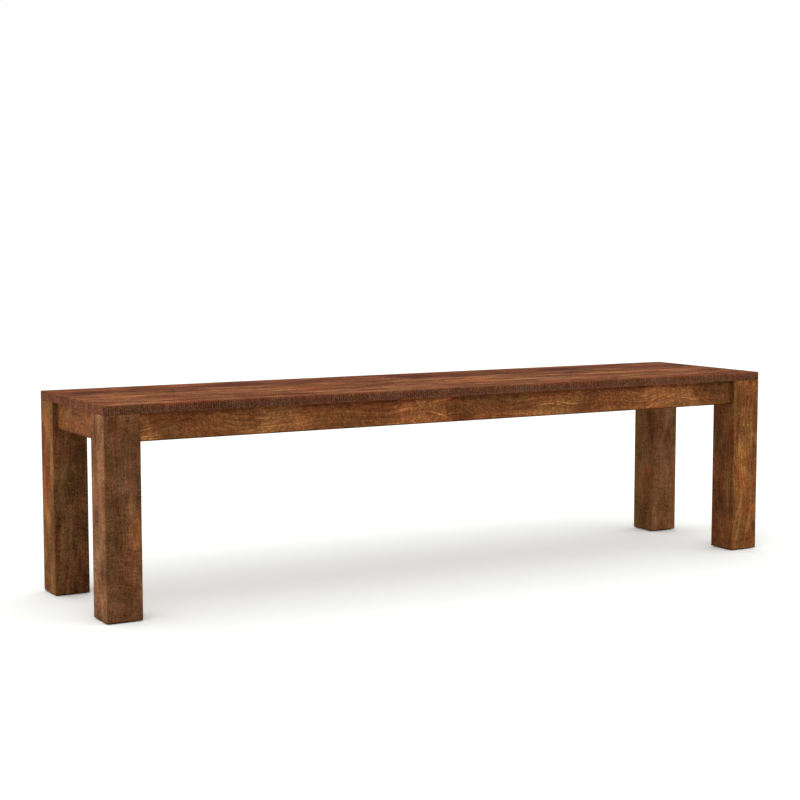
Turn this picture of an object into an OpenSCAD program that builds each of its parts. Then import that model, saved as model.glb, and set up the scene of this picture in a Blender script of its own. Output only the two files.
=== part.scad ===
// Solid-wood dining bench: four square legs, aprons set back between them, and a top of glued boards.
// X runs along the bench, the front faces -Y, Z is up, and the origin is on the floor at the centre.

/* [Bench] */
// Overall length
bench_l = 1760; // [1300:10:2200]
// Overall depth, front to rear
bench_d = 406; // [340:2:480]
// Height of the seat above the floor
bench_h = 457; // [400:1:520]

/* [Top] */
// Thickness of the top boards
top_t = 20; // [18:1:32]
// Number of boards glued edge to edge across the top
board_count = 4; // [4:2:6]
// Radius on the outer edges of the top
top_ease_r = 1; // [0.5:0.5:4]
// Radius on the edges beside each glue line
seam_ease_r = 0.5; // [0.2:0.1:1.5]

/* [Legs] */
// Width of the square legs
leg_w = 80; // [70:1:96]
// Radius on the upright edges of a leg
leg_ease_r = 1; // [0.5:0.5:5]
// Chamfer round the foot of a leg
foot_chamfer = 1; // [0.5:0.5:4]
// Width of the flat planed on a leg's inner corner, where its bolts go in
leg_flat_w = 24; // [18:1:32]

/* [Aprons] */
// Height of the aprons
apron_h = 60; // [56:1:90]
// Thickness of the aprons
apron_t = 22; // [20:1:28]
// How far the aprons stand back from the outer faces of the legs
apron_setback = 12.5; // [4:0.5:18]
// Radius on the lower edges of the aprons and rails
apron_ease_r = 1; // [0.5:0.5:4]
// Height of the groove that the top clips hook into
groove_w = 3; // [2.5:0.5:4]
// Depth of that groove
groove_depth = 8; // [7:0.5:10]
// Distance from the top of an apron down to that groove
groove_drop = 8; // [6:0.5:9]

/* [Cross rails] */
// Number of rails between the long aprons
rail_count = 3; // [1:1:4]
// Height of a cross rail
rail_h = 40; // [36:1:48]
// Thickness of a cross rail
rail_t = 22; // [18:1:30]
// Length of the stub tenon at each end of a rail
tenon_l = 8; // [5:1:12]
// Thickness of that tenon
tenon_t = 10; // [8:1:14]
// Height of that tenon
tenon_h = 20; // [14:1:24]

/* [Corner plates] */
// Thickness of the steel
plate_t = 2; // [1.5:0.5:3]
// Height of a plate
plate_h = 40; // [36:1:44]
// Length of each flange along its apron
flange_l = 30; // [24:1:40]
// Depth of the lip that hooks into its apron
lip_l = 6; // [4:0.5:8]
// Gap between a plate and the flat on the leg, which lets the nuts draw the leg in
draw_gap = 4; // [2:0.5:6]

/* [Hanger bolts] */
// Radius of a bolt
bolt_r = 4; // [3:0.5:5]
// Length screwed into the leg
bolt_lag_l = 40; // [30:1:50]
// Length past the flat on the leg
bolt_stud_l = 22; // [20:1:30]
// Height between the two bolts in a corner
bolt_spacing = 20; // [18:1:22]
// Width of a nut across its flats
nut_af = 13; // [12:0.5:15]
// Thickness of a nut
nut_t = 6.5; // [5:0.5:8]
// Outer radius of a washer
washer_r = 8; // [7:0.5:9]
// Thickness of a washer
washer_t = 1.6; // [1:0.2:2.4]

/* [Top clips] */
// Thickness of the clips' steel
clip_t = 1.5; // [1:0.1:2]
// Width of a clip along its apron
clip_w = 20; // [16:1:30]
// Length of the flange under the top
clip_flange_l = 22; // [18:1:28]
// Length of the tongue in the groove
clip_tongue_l = 6; // [4:0.5:6.5]

/* [Screws] */
// Radius of the screws' shanks
screw_r = 2; // [1.5:0.1:2.4]
// Radius of the screws' heads
screw_head_r = 4; // [3.5:0.1:4.5]
// Height of the screws' heads
screw_head_h = 2.4; // [1.8:0.1:3]
// Length of the screws in plates and clips
screw_l = 14; // [10:1:15]
// Length of the screws in the cross rails
rail_screw_l = 32; // [28:1:34]
// How far the screws in the cross rails bite into the top
rail_screw_bite = 13; // [10:1:15]

/* [Glides] */
// Radius of a glide
glide_r = 12; // [9:0.5:18]
// Height of a glide
glide_h = 4; // [3.6:0.2:6]
// Depth of the recess in the foot that seats a glide
glide_recess = 2; // [1:0.2:2.4]
// Length of a glide's nail above its head
nail_l = 18; // [14:1:24]
// Radius of that nail
nail_r = 1.2; // [1:0.1:1.6]

/* [Hidden] */
$fn = 48;
// Clearance round pins, screws, bolts and tenons
fit_gap = 0.1;
// Clearance round loose parts, such as clips and glides
loose_gap = 0.3;
// Clearance past the end of a screw, nail or tenon
end_gap = 1;
// Run of a cut past the face that it starts from
overrun = 1;

// Places that follow from the driving sizes
board_w = bench_d / board_count;
foot_z = glide_h - glide_recess;
frame_top = bench_h - top_t;
leg_l = frame_top - foot_z;
apron_inner = apron_setback + apron_t;
long_apron_l = bench_l - 2 * leg_w;
side_apron_l = bench_d - 2 * leg_w;
rail_l = bench_d - 2 * apron_inner;
rail_spacing = long_apron_l / (rail_count + 1);
clip_count = rail_count + 1;
side_clip_y = board_w / 2;
clip_inset = loose_gap + clip_flange_l / 2;

// Corner plates, in a corner's plan, where both axes run inwards from the outer corner.
// A line across the corner is named by the sum of its distances along the two axes.
plate_land = 3;
plate_z = frame_top - groove_drop - groove_w - plate_land - plate_h / 2;
flat_sum = 2 * leg_w - leg_flat_w / sqrt(2);
web_sum = flat_sum + draw_gap * sqrt(2);
web_back_sum = web_sum + plate_t * sqrt(2);
bend = web_sum - apron_inner;
inner_bend = bend + plate_t * (sqrt(2) - 1);
plate_end = bend + flange_l;
flange_screw_a = bend + flange_l / 2;
flange_screw_spacing = plate_h - 4 * screw_head_r;

// Hanger bolts and nuts: the threads are rings
stud_pitch = 1.25;
lag_pitch = 3;
stud_root_share = 0.85;
lag_root_share = 0.7;
bolt_plain_l = 3;
bolt_point_l = 6;
bolt_hole_gap = 0.5;
nut_chamfer_share = 0.12;

// Screws: shares of the head's own radius and height
head_flat_share = 0.7;
head_edge_share = 0.5;
recess_l_share = 0.55;
recess_w_share = 0.26;
recess_depth_share = 0.6;
screw_point_l = 4;
screw_hole_gap = 0.6;
rail_bore_gap = 1;
rail_screw_edge = 16;
rail_seat_z = frame_top - rail_screw_l + rail_screw_bite;
tenon_shoulder = 5;

// Glides and their nails
glide_edge_r = 1;
nail_head_r = 4.5;
nail_head_h = 1;
nail_cover = 0.8;
nail_point_l = 3;
nail_z = glide_h - nail_cover - nail_head_h;

// Each corner's name, and the sides of the bench that it lies on along X and along Y
CORNERS = [["front_left", -1, -1], ["front_right", 1, -1], ["rear_left", -1, 1], ["rear_right", 1, 1]];
// Each long side and each short side, and where it lies
LONG_SIDES = [["front", -1], ["rear", 1]];
SHORT_SIDES = [["left", -1], ["right", 1]];

top_wood = [0.47, 0.27, 0.18];
leg_wood = [0.43, 0.28, 0.17];
apron_wood = [0.53, 0.34, 0.18];
plain_wood = [0.62, 0.47, 0.31];
zinc = [0.74, 0.74, 0.71];
nylon = [0.16, 0.13, 0.11];

function board_y(i) = (i + 0.5) * board_w - bench_d / 2;
function rail_x(i) = (i + 1) * rail_spacing - long_apron_l / 2;
function clip_x(i) = (i + 0.5) * rail_spacing - long_apron_l / 2;
// A rail screw stands under the middle of its board, but no nearer to the rail's end than it may
function rail_screw_y(i) = sign(board_y(i)) * min(abs(board_y(i)), rail_l / 2 - rail_screw_edge);

// What a corner at the origin loses when it is rounded to radius r
module corner_waste(r) {
    if (r > 0)
        difference() {
            translate([-overrun, -overrun]) square(r + overrun);
            translate([r, r]) circle(r);
        }
}

// A rectangle from the origin, with a radius for each corner, anticlockwise from the origin
module eased_rect(w, h, r) {
    difference() {
        square([w, h]);
        corner_waste(r[0]);
        translate([w, 0]) mirror([1, 0]) corner_waste(r[1]);
        translate([w, h]) rotate(180) corner_waste(r[2]);
        translate([0, h]) mirror([0, 1]) corner_waste(r[3]);
    }
}

// Extrudes an outline drawn in Y and Z along X, from the origin
module along_x(length) {
    rotate([90, 0, 90]) linear_extrude(length) children();
}

// Extrudes an outline drawn in X and Z along Y, from the origin
module along_y(length) {
    translate([0, length, 0]) rotate([90, 0, 0]) linear_extrude(length) children();
}

// Puts a piece drawn in a corner's plan on that corner of the bench
module at_corner(c) {
    mirror([c[1] > 0 ? 1 : 0, 0, 0])
        mirror([0, c[2] > 0 ? 1 : 0, 0])
            translate([-bench_l / 2, -bench_d / 2, 0])
                children();
}

// Stands a piece across a corner's diagonal, with +Z pointing outwards into the leg
module into_leg(sum, z) {
    translate([sum / 2, sum / 2, z]) rotate([0, 90, 225]) children();
}

// The two hanger bolts' places in a corner
module bolt_places(sum) {
    for (s = [-1, 1]) into_leg(sum, plate_z + s * bolt_spacing / 2) children();
}

// Draws what serves one flange of a corner plate on both flanges
module both_flanges() {
    children();
    mirror([1, -1, 0]) children();
}

// The screws' places on a corner plate's flanges, with +Z pointing into the apron
module flange_screw_places() {
    both_flanges()
        for (s = [-1, 1])
            translate([flange_screw_a, apron_inner + plate_t, plate_z + s * flange_screw_spacing / 2])
                rotate([90, 0, 0]) children();
}

// A frame on the inner face of a long apron: Y points into the bench, and Z is zero under the top
module on_long_side(side, x) {
    translate([x, side * (bench_d / 2 - apron_inner), frame_top])
        mirror([0, side > 0 ? 1 : 0, 0]) children();
}

// The same frame on the inner face of a short apron
module on_short_side(side, y) {
    translate([side * (bench_l / 2 - apron_inner), y, frame_top]) rotate(side * 90) children();
}

// Every clip's frame on its apron
module clip_places() {
    for (s = LONG_SIDES)
        for (i = [0:clip_count - 1]) on_long_side(s[1], clip_x(i)) children();
    for (s = SHORT_SIDES)
        for (e = LONG_SIDES) on_short_side(s[1], e[1] * side_clip_y) children();
}

// Every rail screw's place, with its height left to what is drawn
module rail_screw_places() {
    for (k = [0:rail_count - 1])
        for (i = [0:board_count - 1]) translate([rail_x(k), rail_screw_y(i), 0]) children();
}

// A hole for a screw that goes up into the underside of the top
module top_pilot(depth) {
    translate([0, 0, -overrun]) cylinder(h = depth + end_gap + overrun, r = screw_r + fit_gap);
}

module top_board(i) {
    first = i == 0;
    last = i == board_count - 1;
    near_r = first ? top_ease_r : seam_ease_r;
    far_r = last ? top_ease_r : seam_ease_r;
    front_r = first ? top_ease_r : 0;
    rear_r = last ? top_ease_r : 0;
    color(top_wood)
        difference() {
            translate([-bench_l / 2, i * board_w - bench_d / 2, frame_top])
                intersection() {
                    along_x(bench_l) eased_rect(board_w, top_t, [near_r, far_r, far_r, near_r]);
                    along_y(board_w)
                        eased_rect(bench_l, top_t, [top_ease_r, top_ease_r, top_ease_r, top_ease_r]);
                    linear_extrude(top_t)
                        eased_rect(bench_l, board_w, [front_r, front_r, rear_r, rear_r]);
                }
            clip_places() translate([0, clip_inset, 0]) top_pilot(screw_l - clip_t);
            translate([0, 0, frame_top]) rail_screw_places() top_pilot(rail_screw_bite);
        }
}

// The side of a leg, chamfered at the foot
module leg_outline() {
    polygon([
        [foot_chamfer, 0], [leg_w - foot_chamfer, 0], [leg_w, foot_chamfer],
        [leg_w, leg_l], [0, leg_l], [0, foot_chamfer]
    ]);
}

module leg(c) {
    color(leg_wood)
        at_corner(c)
            difference() {
                translate([0, 0, foot_z])
                    intersection() {
                        linear_extrude(leg_l)
                            eased_rect(leg_w, leg_w, [leg_ease_r, leg_ease_r, leg_ease_r, leg_ease_r]);
                        along_x(leg_w) leg_outline();
                        along_y(leg_w) leg_outline();
                    }
                leg_flat_cut();
                bolt_places(flat_sum)
                    translate([0, 0, -overrun])
                        cylinder(h = bolt_lag_l + end_gap + overrun, r = bolt_r + fit_gap);
                glide_cuts();
            }
}

// The flat on a leg's inner corner, as tall as the aprons
module leg_flat_cut() {
    into_leg(flat_sum, frame_top - apron_h)
        translate([-apron_h - overrun, -leg_flat_w, -leg_flat_w])
            cube([apron_h + overrun, 2 * leg_flat_w, leg_flat_w]);
}

// The recess in a foot for its glide, and the hole for the nail
module glide_cuts() {
    translate([leg_w / 2, leg_w / 2, 0]) {
        cylinder(h = glide_h, r = glide_r + loose_gap);
        cylinder(h = nail_z + nail_head_h + nail_l + end_gap, r = nail_r + fit_gap);
    }
}

// An apron's section, in the frame of its inner face
module apron_section() {
    difference() {
        translate([-apron_t, -apron_h])
            eased_rect(apron_t, apron_h, [apron_ease_r, apron_ease_r, 0, 0]);
        translate([-groove_depth, -groove_drop - groove_w]) square([groove_depth + overrun, groove_w]);
    }
}

// What the corner plates' lips and screws take out of the aprons
module plate_cuts() {
    slot_w = plate_t + 2 * fit_gap;
    for (c = CORNERS)
        at_corner(c) {
            both_flanges()
                translate([
                    plate_end - plate_t - fit_gap, apron_inner - lip_l - end_gap, frame_top - apron_h - overrun
                ])
                    cube([slot_w, lip_l + end_gap + overrun, apron_h + 2 * overrun]);
            flange_screw_places() cylinder(h = screw_l + end_gap, r = screw_r + fit_gap);
        }
}

module long_apron(side) {
    color(apron_wood)
        difference() {
            on_long_side(side, 0)
                translate([-long_apron_l / 2, 0, 0]) along_x(long_apron_l) apron_section();
            plate_cuts();
            for (k = [0:rail_count - 1]) rail_tenons(k, fit_gap, end_gap);
        }
}

module side_apron(side) {
    color(apron_wood)
        difference() {
            on_short_side(side, 0)
                translate([-side_apron_l / 2, 0, 0]) along_x(side_apron_l) apron_section();
            plate_cuts();
        }
}

// A rail's two tenons in one bar, or their mortises when it is grown by gaps on its sides and at its ends
module rail_tenons(k, side_gap, depth_gap) {
    reach = rail_l / 2 + tenon_l + depth_gap;
    translate([
        rail_x(k) - tenon_t / 2 - side_gap, -reach, frame_top - rail_h + tenon_shoulder - side_gap
    ])
        cube([tenon_t + 2 * side_gap, 2 * reach, tenon_h + 2 * side_gap]);
}

module cross_rail(k) {
    color(plain_wood)
        difference() {
            union() {
                translate([rail_x(k) - rail_t / 2, -rail_l / 2, frame_top - rail_h])
                    along_y(rail_l)
                        eased_rect(rail_t, rail_h, [apron_ease_r, apron_ease_r, 0, 0]);
                rail_tenons(k, 0, 0);
            }
            rail_screw_places() {
                cylinder(h = frame_top + overrun, r = screw_r + rail_bore_gap);
                cylinder(h = rail_seat_z, r = screw_head_r + rail_bore_gap);
            }
        }
}

// The bent steel, seen from above: lip, flange, web, flange and lip
module plate_outline() {
    lip_end = apron_inner - lip_l;
    flange_back = apron_inner + plate_t;
    polygon([
        [plate_end, flange_back], [plate_end, lip_end], [plate_end - plate_t, lip_end],
        [plate_end - plate_t, apron_inner], [bend, apron_inner],
        [apron_inner, bend], [apron_inner, plate_end - plate_t],
        [lip_end, plate_end - plate_t], [lip_end, plate_end], [flange_back, plate_end],
        [flange_back, inner_bend], [inner_bend, flange_back]
    ]);
}

module corner_plate(c) {
    color(zinc)
        at_corner(c)
            difference() {
                translate([0, 0, plate_z - plate_h / 2]) linear_extrude(plate_h) plate_outline();
                bolt_places(web_back_sum)
                    translate([0, 0, -overrun])
                        cylinder(h = plate_t + 2 * overrun, r = bolt_r + bolt_hole_gap);
                flange_screw_places()
                    translate([0, 0, -overrun])
                        cylinder(h = plate_t + 2 * overrun, r = screw_r + screw_hole_gap);
            }
}

// Rings of a thread between two heights, as points of radius and height
function thread_rings(r, root_share, pitch, from, to) =
    let (count = floor((to - from) / pitch), step = (to - from) / count)
        [for (i = [0:count - 1]) each [[r * root_share, from + i * step], [r, from + (i + 0.5) * step]]];

// A hanger bolt, from the end of its stud to its point, with the flat on the leg at zero
module hanger_bolt() {
    lag_end = bolt_lag_l - bolt_point_l;
    rotate_extrude()
        polygon(concat(
            [[0, -bolt_stud_l]],
            thread_rings(bolt_r, stud_root_share, stud_pitch, -bolt_stud_l, -bolt_plain_l),
            [[bolt_r, -bolt_plain_l], [bolt_r, bolt_plain_l]],
            thread_rings(bolt_r, lag_root_share, lag_pitch, bolt_plain_l, lag_end),
            [[bolt_r * lag_root_share, lag_end], [0, bolt_lag_l]]
        ));
}

module hanger_bolts() {
    color(zinc) for (c = CORNERS) at_corner(c) bolt_places(flat_sum) hanger_bolt();
}

module bolt_washers() {
    color(zinc)
        for (c = CORNERS)
            at_corner(c)
                bolt_places(web_back_sum)
                    translate([0, 0, -washer_t])
                        difference() {
                            cylinder(h = washer_t, r = washer_r);
                            translate([0, 0, -overrun])
                                cylinder(h = washer_t + 2 * overrun, r = bolt_r + bolt_hole_gap);
                        }
}

// A hexagon nut from the origin up, with both ends chamfered
module nut() {
    corner_r = nut_af / 2 / cos(30);
    chamfer = nut_t * nut_chamfer_share;
    difference() {
        intersection() {
            cylinder(h = nut_t, r = corner_r, $fn = 6);
            rotate_extrude()
                polygon([
                    [0, 0], [nut_af / 2, 0], [corner_r, chamfer],
                    [corner_r, nut_t - chamfer], [nut_af / 2, nut_t], [0, nut_t]
                ]);
        }
        translate([0, 0, -overrun]) cylinder(h = nut_t + 2 * overrun, r = bolt_r + fit_gap);
    }
}

module bolt_nuts() {
    color(zinc)
        for (c = CORNERS)
            at_corner(c) bolt_places(web_back_sum) translate([0, 0, -washer_t - nut_t]) nut();
}

// A pan-head screw with a cross recess, its point up and the underside of its head at zero
module screw(length) {
    recess_l = 2 * screw_head_r * recess_l_share;
    recess_w = screw_head_r * recess_w_share;
    recess_depth = screw_head_h * recess_depth_share;
    difference() {
        rotate_extrude()
            polygon([
                [0, -screw_head_h], [screw_head_r * head_flat_share, -screw_head_h],
                [screw_head_r, -screw_head_h * head_edge_share], [screw_head_r, 0],
                [screw_r, 0], [screw_r, length - screw_point_l], [0, length]
            ]);
        for (turn = [0, 90])
            rotate(turn)
                translate([-recess_l / 2, -recess_w / 2, -screw_head_h - overrun])
                    cube([recess_l, recess_w, recess_depth + overrun]);
    }
}

module plate_screws() {
    color(zinc) for (c = CORNERS) at_corner(c) flange_screw_places() screw(screw_l);
}

module clip_screws() {
    color(zinc) clip_places() translate([0, clip_inset, -clip_t]) screw(screw_l);
}

module rail_screws() {
    color(zinc) translate([0, 0, rail_seat_z]) rail_screw_places() screw(rail_screw_l);
}

// A clip's bent steel in the frame of its apron: flange under the top, web down the apron, tongue in the groove
module top_clip() {
    tongue_z = -groove_drop - fit_gap;
    color(zinc)
        difference() {
            translate([-clip_w / 2, 0, 0])
                along_x(clip_w)
                    polygon([
                        [loose_gap, 0], [loose_gap, tongue_z], [-clip_tongue_l, tongue_z],
                        [-clip_tongue_l, tongue_z - clip_t], [loose_gap + clip_t, tongue_z - clip_t],
                        [loose_gap + clip_t, -clip_t], [loose_gap + clip_flange_l, -clip_t],
                        [loose_gap + clip_flange_l, 0]
                    ]);
            translate([0, clip_inset, -clip_t - overrun])
                cylinder(h = clip_t + 2 * overrun, r = screw_r + screw_hole_gap);
        }
}

// A glide of moulded nylon, with the pocket that its nail's head is moulded into
module glide(c) {
    color(nylon)
        at_corner(c)
            translate([leg_w / 2, leg_w / 2, 0])
                difference() {
                    rotate_extrude()
                        eased_rect(glide_r, glide_h, [0, glide_edge_r, 0, 0]);
                    translate([0, 0, nail_z - fit_gap])
                        cylinder(h = nail_head_h + 2 * fit_gap, r = nail_head_r + fit_gap);
                    translate([0, 0, nail_z])
                        cylinder(h = glide_h, r = nail_r + fit_gap);
                }
}

module glide_nails() {
    shank_end = nail_z + nail_head_h + nail_l;
    color(zinc)
        for (c = CORNERS)
            at_corner(c)
                translate([leg_w / 2, leg_w / 2, 0])
                    rotate_extrude()
                        polygon([
                            [0, nail_z], [nail_head_r, nail_z], [nail_head_r, nail_z + nail_head_h],
                            [nail_r, nail_z + nail_head_h], [nail_r, shank_end - nail_point_l], [0, shank_end]
                        ]);
}

for (i = [0:board_count - 1])
    top_board(i);
for (c = CORNERS) {
    leg(c);
    corner_plate(c);
    glide(c);
}
for (s = LONG_SIDES)
    long_apron(s[1]);
for (s = SHORT_SIDES)
    side_apron(s[1]);
for (i = [0:rail_count - 1])
    cross_rail(i);
for (s = LONG_SIDES)
    for (i = [0:clip_count - 1])
        on_long_side(s[1], clip_x(i)) top_clip();
for (s = SHORT_SIDES)
    for (e = LONG_SIDES)
        on_short_side(s[1], e[1] * side_clip_y) top_clip();
hanger_bolts();
bolt_washers();
bolt_nuts();
plate_screws();
clip_screws();
rail_screws();
glide_nails();
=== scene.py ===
import math

import bmesh
import bpy
from mathutils import Euler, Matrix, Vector


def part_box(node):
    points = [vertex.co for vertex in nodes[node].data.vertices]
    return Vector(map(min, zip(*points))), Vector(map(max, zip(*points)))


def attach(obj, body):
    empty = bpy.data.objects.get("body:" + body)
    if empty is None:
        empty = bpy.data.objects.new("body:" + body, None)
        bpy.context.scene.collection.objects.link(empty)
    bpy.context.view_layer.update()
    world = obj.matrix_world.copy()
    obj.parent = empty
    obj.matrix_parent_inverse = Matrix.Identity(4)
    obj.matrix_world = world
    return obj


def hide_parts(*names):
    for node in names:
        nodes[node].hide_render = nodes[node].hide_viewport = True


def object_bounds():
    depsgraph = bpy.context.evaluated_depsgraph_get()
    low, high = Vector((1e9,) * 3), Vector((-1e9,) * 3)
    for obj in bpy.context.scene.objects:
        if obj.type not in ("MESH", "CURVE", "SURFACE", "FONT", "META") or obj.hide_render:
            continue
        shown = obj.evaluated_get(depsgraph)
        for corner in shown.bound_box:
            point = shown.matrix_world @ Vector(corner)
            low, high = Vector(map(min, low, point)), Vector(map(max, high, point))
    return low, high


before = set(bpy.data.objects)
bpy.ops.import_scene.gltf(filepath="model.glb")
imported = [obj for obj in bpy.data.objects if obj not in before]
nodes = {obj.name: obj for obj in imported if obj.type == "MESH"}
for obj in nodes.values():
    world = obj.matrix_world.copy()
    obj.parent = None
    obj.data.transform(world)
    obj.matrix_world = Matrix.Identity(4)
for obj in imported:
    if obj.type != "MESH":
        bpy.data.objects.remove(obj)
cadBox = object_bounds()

scene = bpy.context.scene
mm = 0.001
origin = (0.0, 0.0, 0.0)
white = (1.0, 1.0, 1.0, 1.0)


# Adds nodes to a tree. An input takes a socket, which is linked, or a plain value.
class NodeWriter:
    def __init__(self, tree):
        self.tree = tree

    def add(self, kind, inputs=None, **settings):
        node = self.tree.nodes.new(kind)
        count = len(self.tree.nodes)
        node.location = (count // 5 * 220, -(count % 5) * 260)
        for name, value in settings.items():
            setattr(node, name, value)
        for key, value in (inputs or {}).items():
            self.feed(node.inputs[key], value)
        return node

    def feed(self, socket, value):
        if isinstance(value, bpy.types.NodeSocket):
            self.tree.links.new(value, socket)
        else:
            socket.default_value = value

    def maths(self, operation, *values, clamp=False):
        inputs = dict(enumerate(values))
        return self.add("ShaderNodeMath", inputs, operation=operation, use_clamp=clamp).outputs[0]

    def plus(self, *values):
        total = values[0]
        for value in values[1:]:
            total = self.maths("ADD", total, value)
        return total

    def minus(self, a, b):
        return self.maths("SUBTRACT", a, b)

    def times(self, *values):
        total = values[0]
        for value in values[1:]:
            total = self.maths("MULTIPLY", total, value)
        return total

    def over(self, a, b, clamp=False):
        return self.maths("DIVIDE", a, b, clamp=clamp)

    def vectors(self, operation, *values):
        node = self.add("ShaderNodeVectorMath", operation=operation)
        for index, value in enumerate(values):
            self.feed(node.inputs["Scale" if operation == "SCALE" and index == 1 else index], value)
        return node.outputs["Value" if operation in ("LENGTH", "DOT_PRODUCT") else "Vector"]

    def split(self, vector):
        return list(self.add("ShaderNodeSeparateXYZ", {"Vector": vector}).outputs)

    def join(self, x, y, z):
        return self.add("ShaderNodeCombineXYZ", {"X": x, "Y": y, "Z": z}).outputs[0]

    # Noise from 0 to 1; the seed sets one pattern apart from another
    def noise(self, vector, seed=0.0, detail=2.0, roughness=0.5, distortion=0.0):
        inputs = {"Vector": vector, "W": seed, "Scale": 1.0, "Detail": detail, "Roughness": roughness,
                  "Distortion": distortion}
        return self.add("ShaderNodeTexNoise", inputs, noise_dimensions="4D").outputs[0]

    # Takes a value from one range to the range from 0 to 1, or to another
    def ramp(self, value, low, high, to=(0.0, 1.0)):
        inputs = {"Value": value, "From Min": low, "From Max": high, "To Min": to[0], "To Max": to[1]}
        return self.add("ShaderNodeMapRange", inputs, interpolation_type="SMOOTHSTEP").outputs["Result"]

    # Mixes two colours by a mask
    def blend(self, mask, under, over):
        node = self.add("ShaderNodeMix", data_type="RGBA")
        colours = [socket for socket in node.inputs if socket.type == "RGBA"]
        self.feed(node.inputs["Factor"], mask)
        self.feed(colours[0], under)
        self.feed(colours[1], over)
        return next(socket for socket in node.outputs if socket.type == "RGBA")

    # A pattern from 0 to 1, taken about its middle
    def centred(self, pattern):
        return self.minus(pattern, 0.5)

    # The x, y and z of each point of a mesh
    def points(self):
        return self.split(self.add("GeometryNodeInputPosition").outputs[0])

    def moved(self, mesh, x, y, z):
        return self.add("GeometryNodeSetPosition", {"Geometry": mesh, "Position": self.join(x, y, z)}).outputs[0]

    def cylinder(self, sides, rings=1, radius=1.0, depth=2.0, fill="NGON"):
        inputs = {"Vertices": sides, "Side Segments": rings, "Radius": radius, "Depth": depth}
        return self.add("GeometryNodeMeshCylinder", inputs, fill_type=fill).outputs["Mesh"]

    # Joins closed meshes, keeps what they share, or takes the others out of the first
    def combine(self, operation, first, *others):
        node = self.add("GeometryNodeMeshBoolean", operation=operation, solver="MANIFOLD")
        self.tree.links.new(first, node.inputs["Mesh 1" if operation == "DIFFERENCE" else "Mesh 2"])
        for other in others:
            self.tree.links.new(other, node.inputs["Mesh 2"])
        return node.outputs[0]

    # Smooth shading, with sharp edges where the mesh bends further than an angle in degrees
    def shaded(self, geometry, degrees):
        bend = self.add("GeometryNodeInputMeshEdgeAngle").outputs["Unsigned Angle"]
        soft = self.maths("LESS_THAN", bend, math.radians(degrees))
        smooth = self.add("GeometryNodeSetShadeSmooth", {"Geometry": geometry, "Shade Smooth": True}).outputs[0]
        inputs = {"Geometry": smooth, "Shade Smooth": soft}
        return self.add("GeometryNodeSetShadeSmooth", inputs, domain="EDGE").outputs[0]

    # How every geometry tree ends: real geometry in its material
    def dressed(self, geometry, finish):
        real = self.add("GeometryNodeRealizeInstances", {"Geometry": geometry}).outputs[0]
        return self.add("GeometryNodeSetMaterial", {"Geometry": real, "Material": finish}).outputs[0]

    # How every material of the bench ends
    def surfaced(self, inputs):
        shader = self.add("ShaderNodeBsdfPrincipled", inputs)
        self.add("ShaderNodeOutputMaterial", {"Surface": shader.outputs[0]})

    # 1 where the camera sees a surface itself, in a reflection or through glass
    def seen(self):
        ray = self.add("ShaderNodeLightPath").outputs
        direct = self.maths("MAXIMUM", ray["Is Camera Ray"], ray["Is Glossy Ray"])
        return self.maths("MAXIMUM", direct, ray["Is Transmission Ray"])

    # Places a shader group, where each input takes the value of its own name
    def use(self, group, values):
        node = self.add("ShaderNodeGroup", node_tree=group)
        for socket in node.inputs:
            self.feed(socket, values[socket.name])
        return node.outputs


# The kind of a socket, from a value that it may hold. A word stands for a kind that has none.
def socketKind(value):
    if isinstance(value, tuple):
        return "Color" if len(value) == 4 else "Vector"
    return {float: "Float", int: "Int", bool: "Bool"}.get(type(value), value)


# Starts a node group with named inputs, each with its usual value, and named outputs
def newGroup(name, treeKind, inputs, outputs):
    tree = bpy.data.node_groups.new(name, treeKind)
    for side, sockets in (("INPUT", inputs), ("OUTPUT", outputs)):
        for label, value in sockets.items():
            socket = tree.interface.new_socket(label, in_out=side, socket_type="NodeSocket" + socketKind(value))
            if side == "INPUT" and not isinstance(value, str):
                socket.default_value = value
    w = NodeWriter(tree)
    return w, w.add("NodeGroupInput").outputs


def closeGroup(w, outputs):
    end = w.add("NodeGroupOutput")
    for label, value in outputs.items():
        w.feed(end.inputs[label], value)
    return w.tree


# Empties the nodes of a material or the world, and writes new ones there
def startNodes(holder):
    holder.use_nodes = True
    holder.node_tree.nodes.clear()
    return NodeWriter(holder.node_tree)


# A new material, with its object's own coordinates
def startMaterial(name):
    material = bpy.data.materials.new(name)
    w = startNodes(material)
    return material, w, w.add("ShaderNodeTexCoord").outputs["Object"]


def addObject(name, data):
    added = bpy.data.objects.new(name, data)
    scene.collection.objects.link(added)
    return added


# Keeps a piece's evaluated shape as its plain mesh, and takes its modifiers off
def keepShape(piece, material):
    bpy.context.view_layer.update()
    graph = bpy.context.evaluated_depsgraph_get()
    mesh = bpy.data.meshes.new_from_object(piece.evaluated_get(graph), depsgraph=graph)
    base = piece.data
    piece.modifiers.clear()
    piece.data = mesh
    bpy.data.meshes.remove(base)
    mesh.name = piece.name
    mesh.materials.clear()
    mesh.materials.append(material)


# Puts a finished piece on the frame, in the place of its CAD node
def settle(piece, node):
    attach(piece, "root")
    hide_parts(node)
    print(f"{piece.name}: {len(piece.data.polygons)} faces")


# How finely a member's mesh is cut: cells in each rounded edge, a thin cell beside it, and how far it stays inside
# its solid. Edges under so many degrees are smooth, and its unevenness has so many waves per metre.
memberRule = {
    "edgeCells": 3, "besideEdge": 0.4 * mm, "inside": 0.02 * mm, "smoothBelow": 32,
    "wanderScale": 9.0, "wanderRange": (0.3, 0.7), "hollowScale": 14.0, "chipScale": 60.0, "chipRange": (0.6, 0.74),
    "leanRange": (1.05, 1.3), "seamDepth": 0.5, "driftScale": 30.0, "drift": 6 * mm,
}


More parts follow.
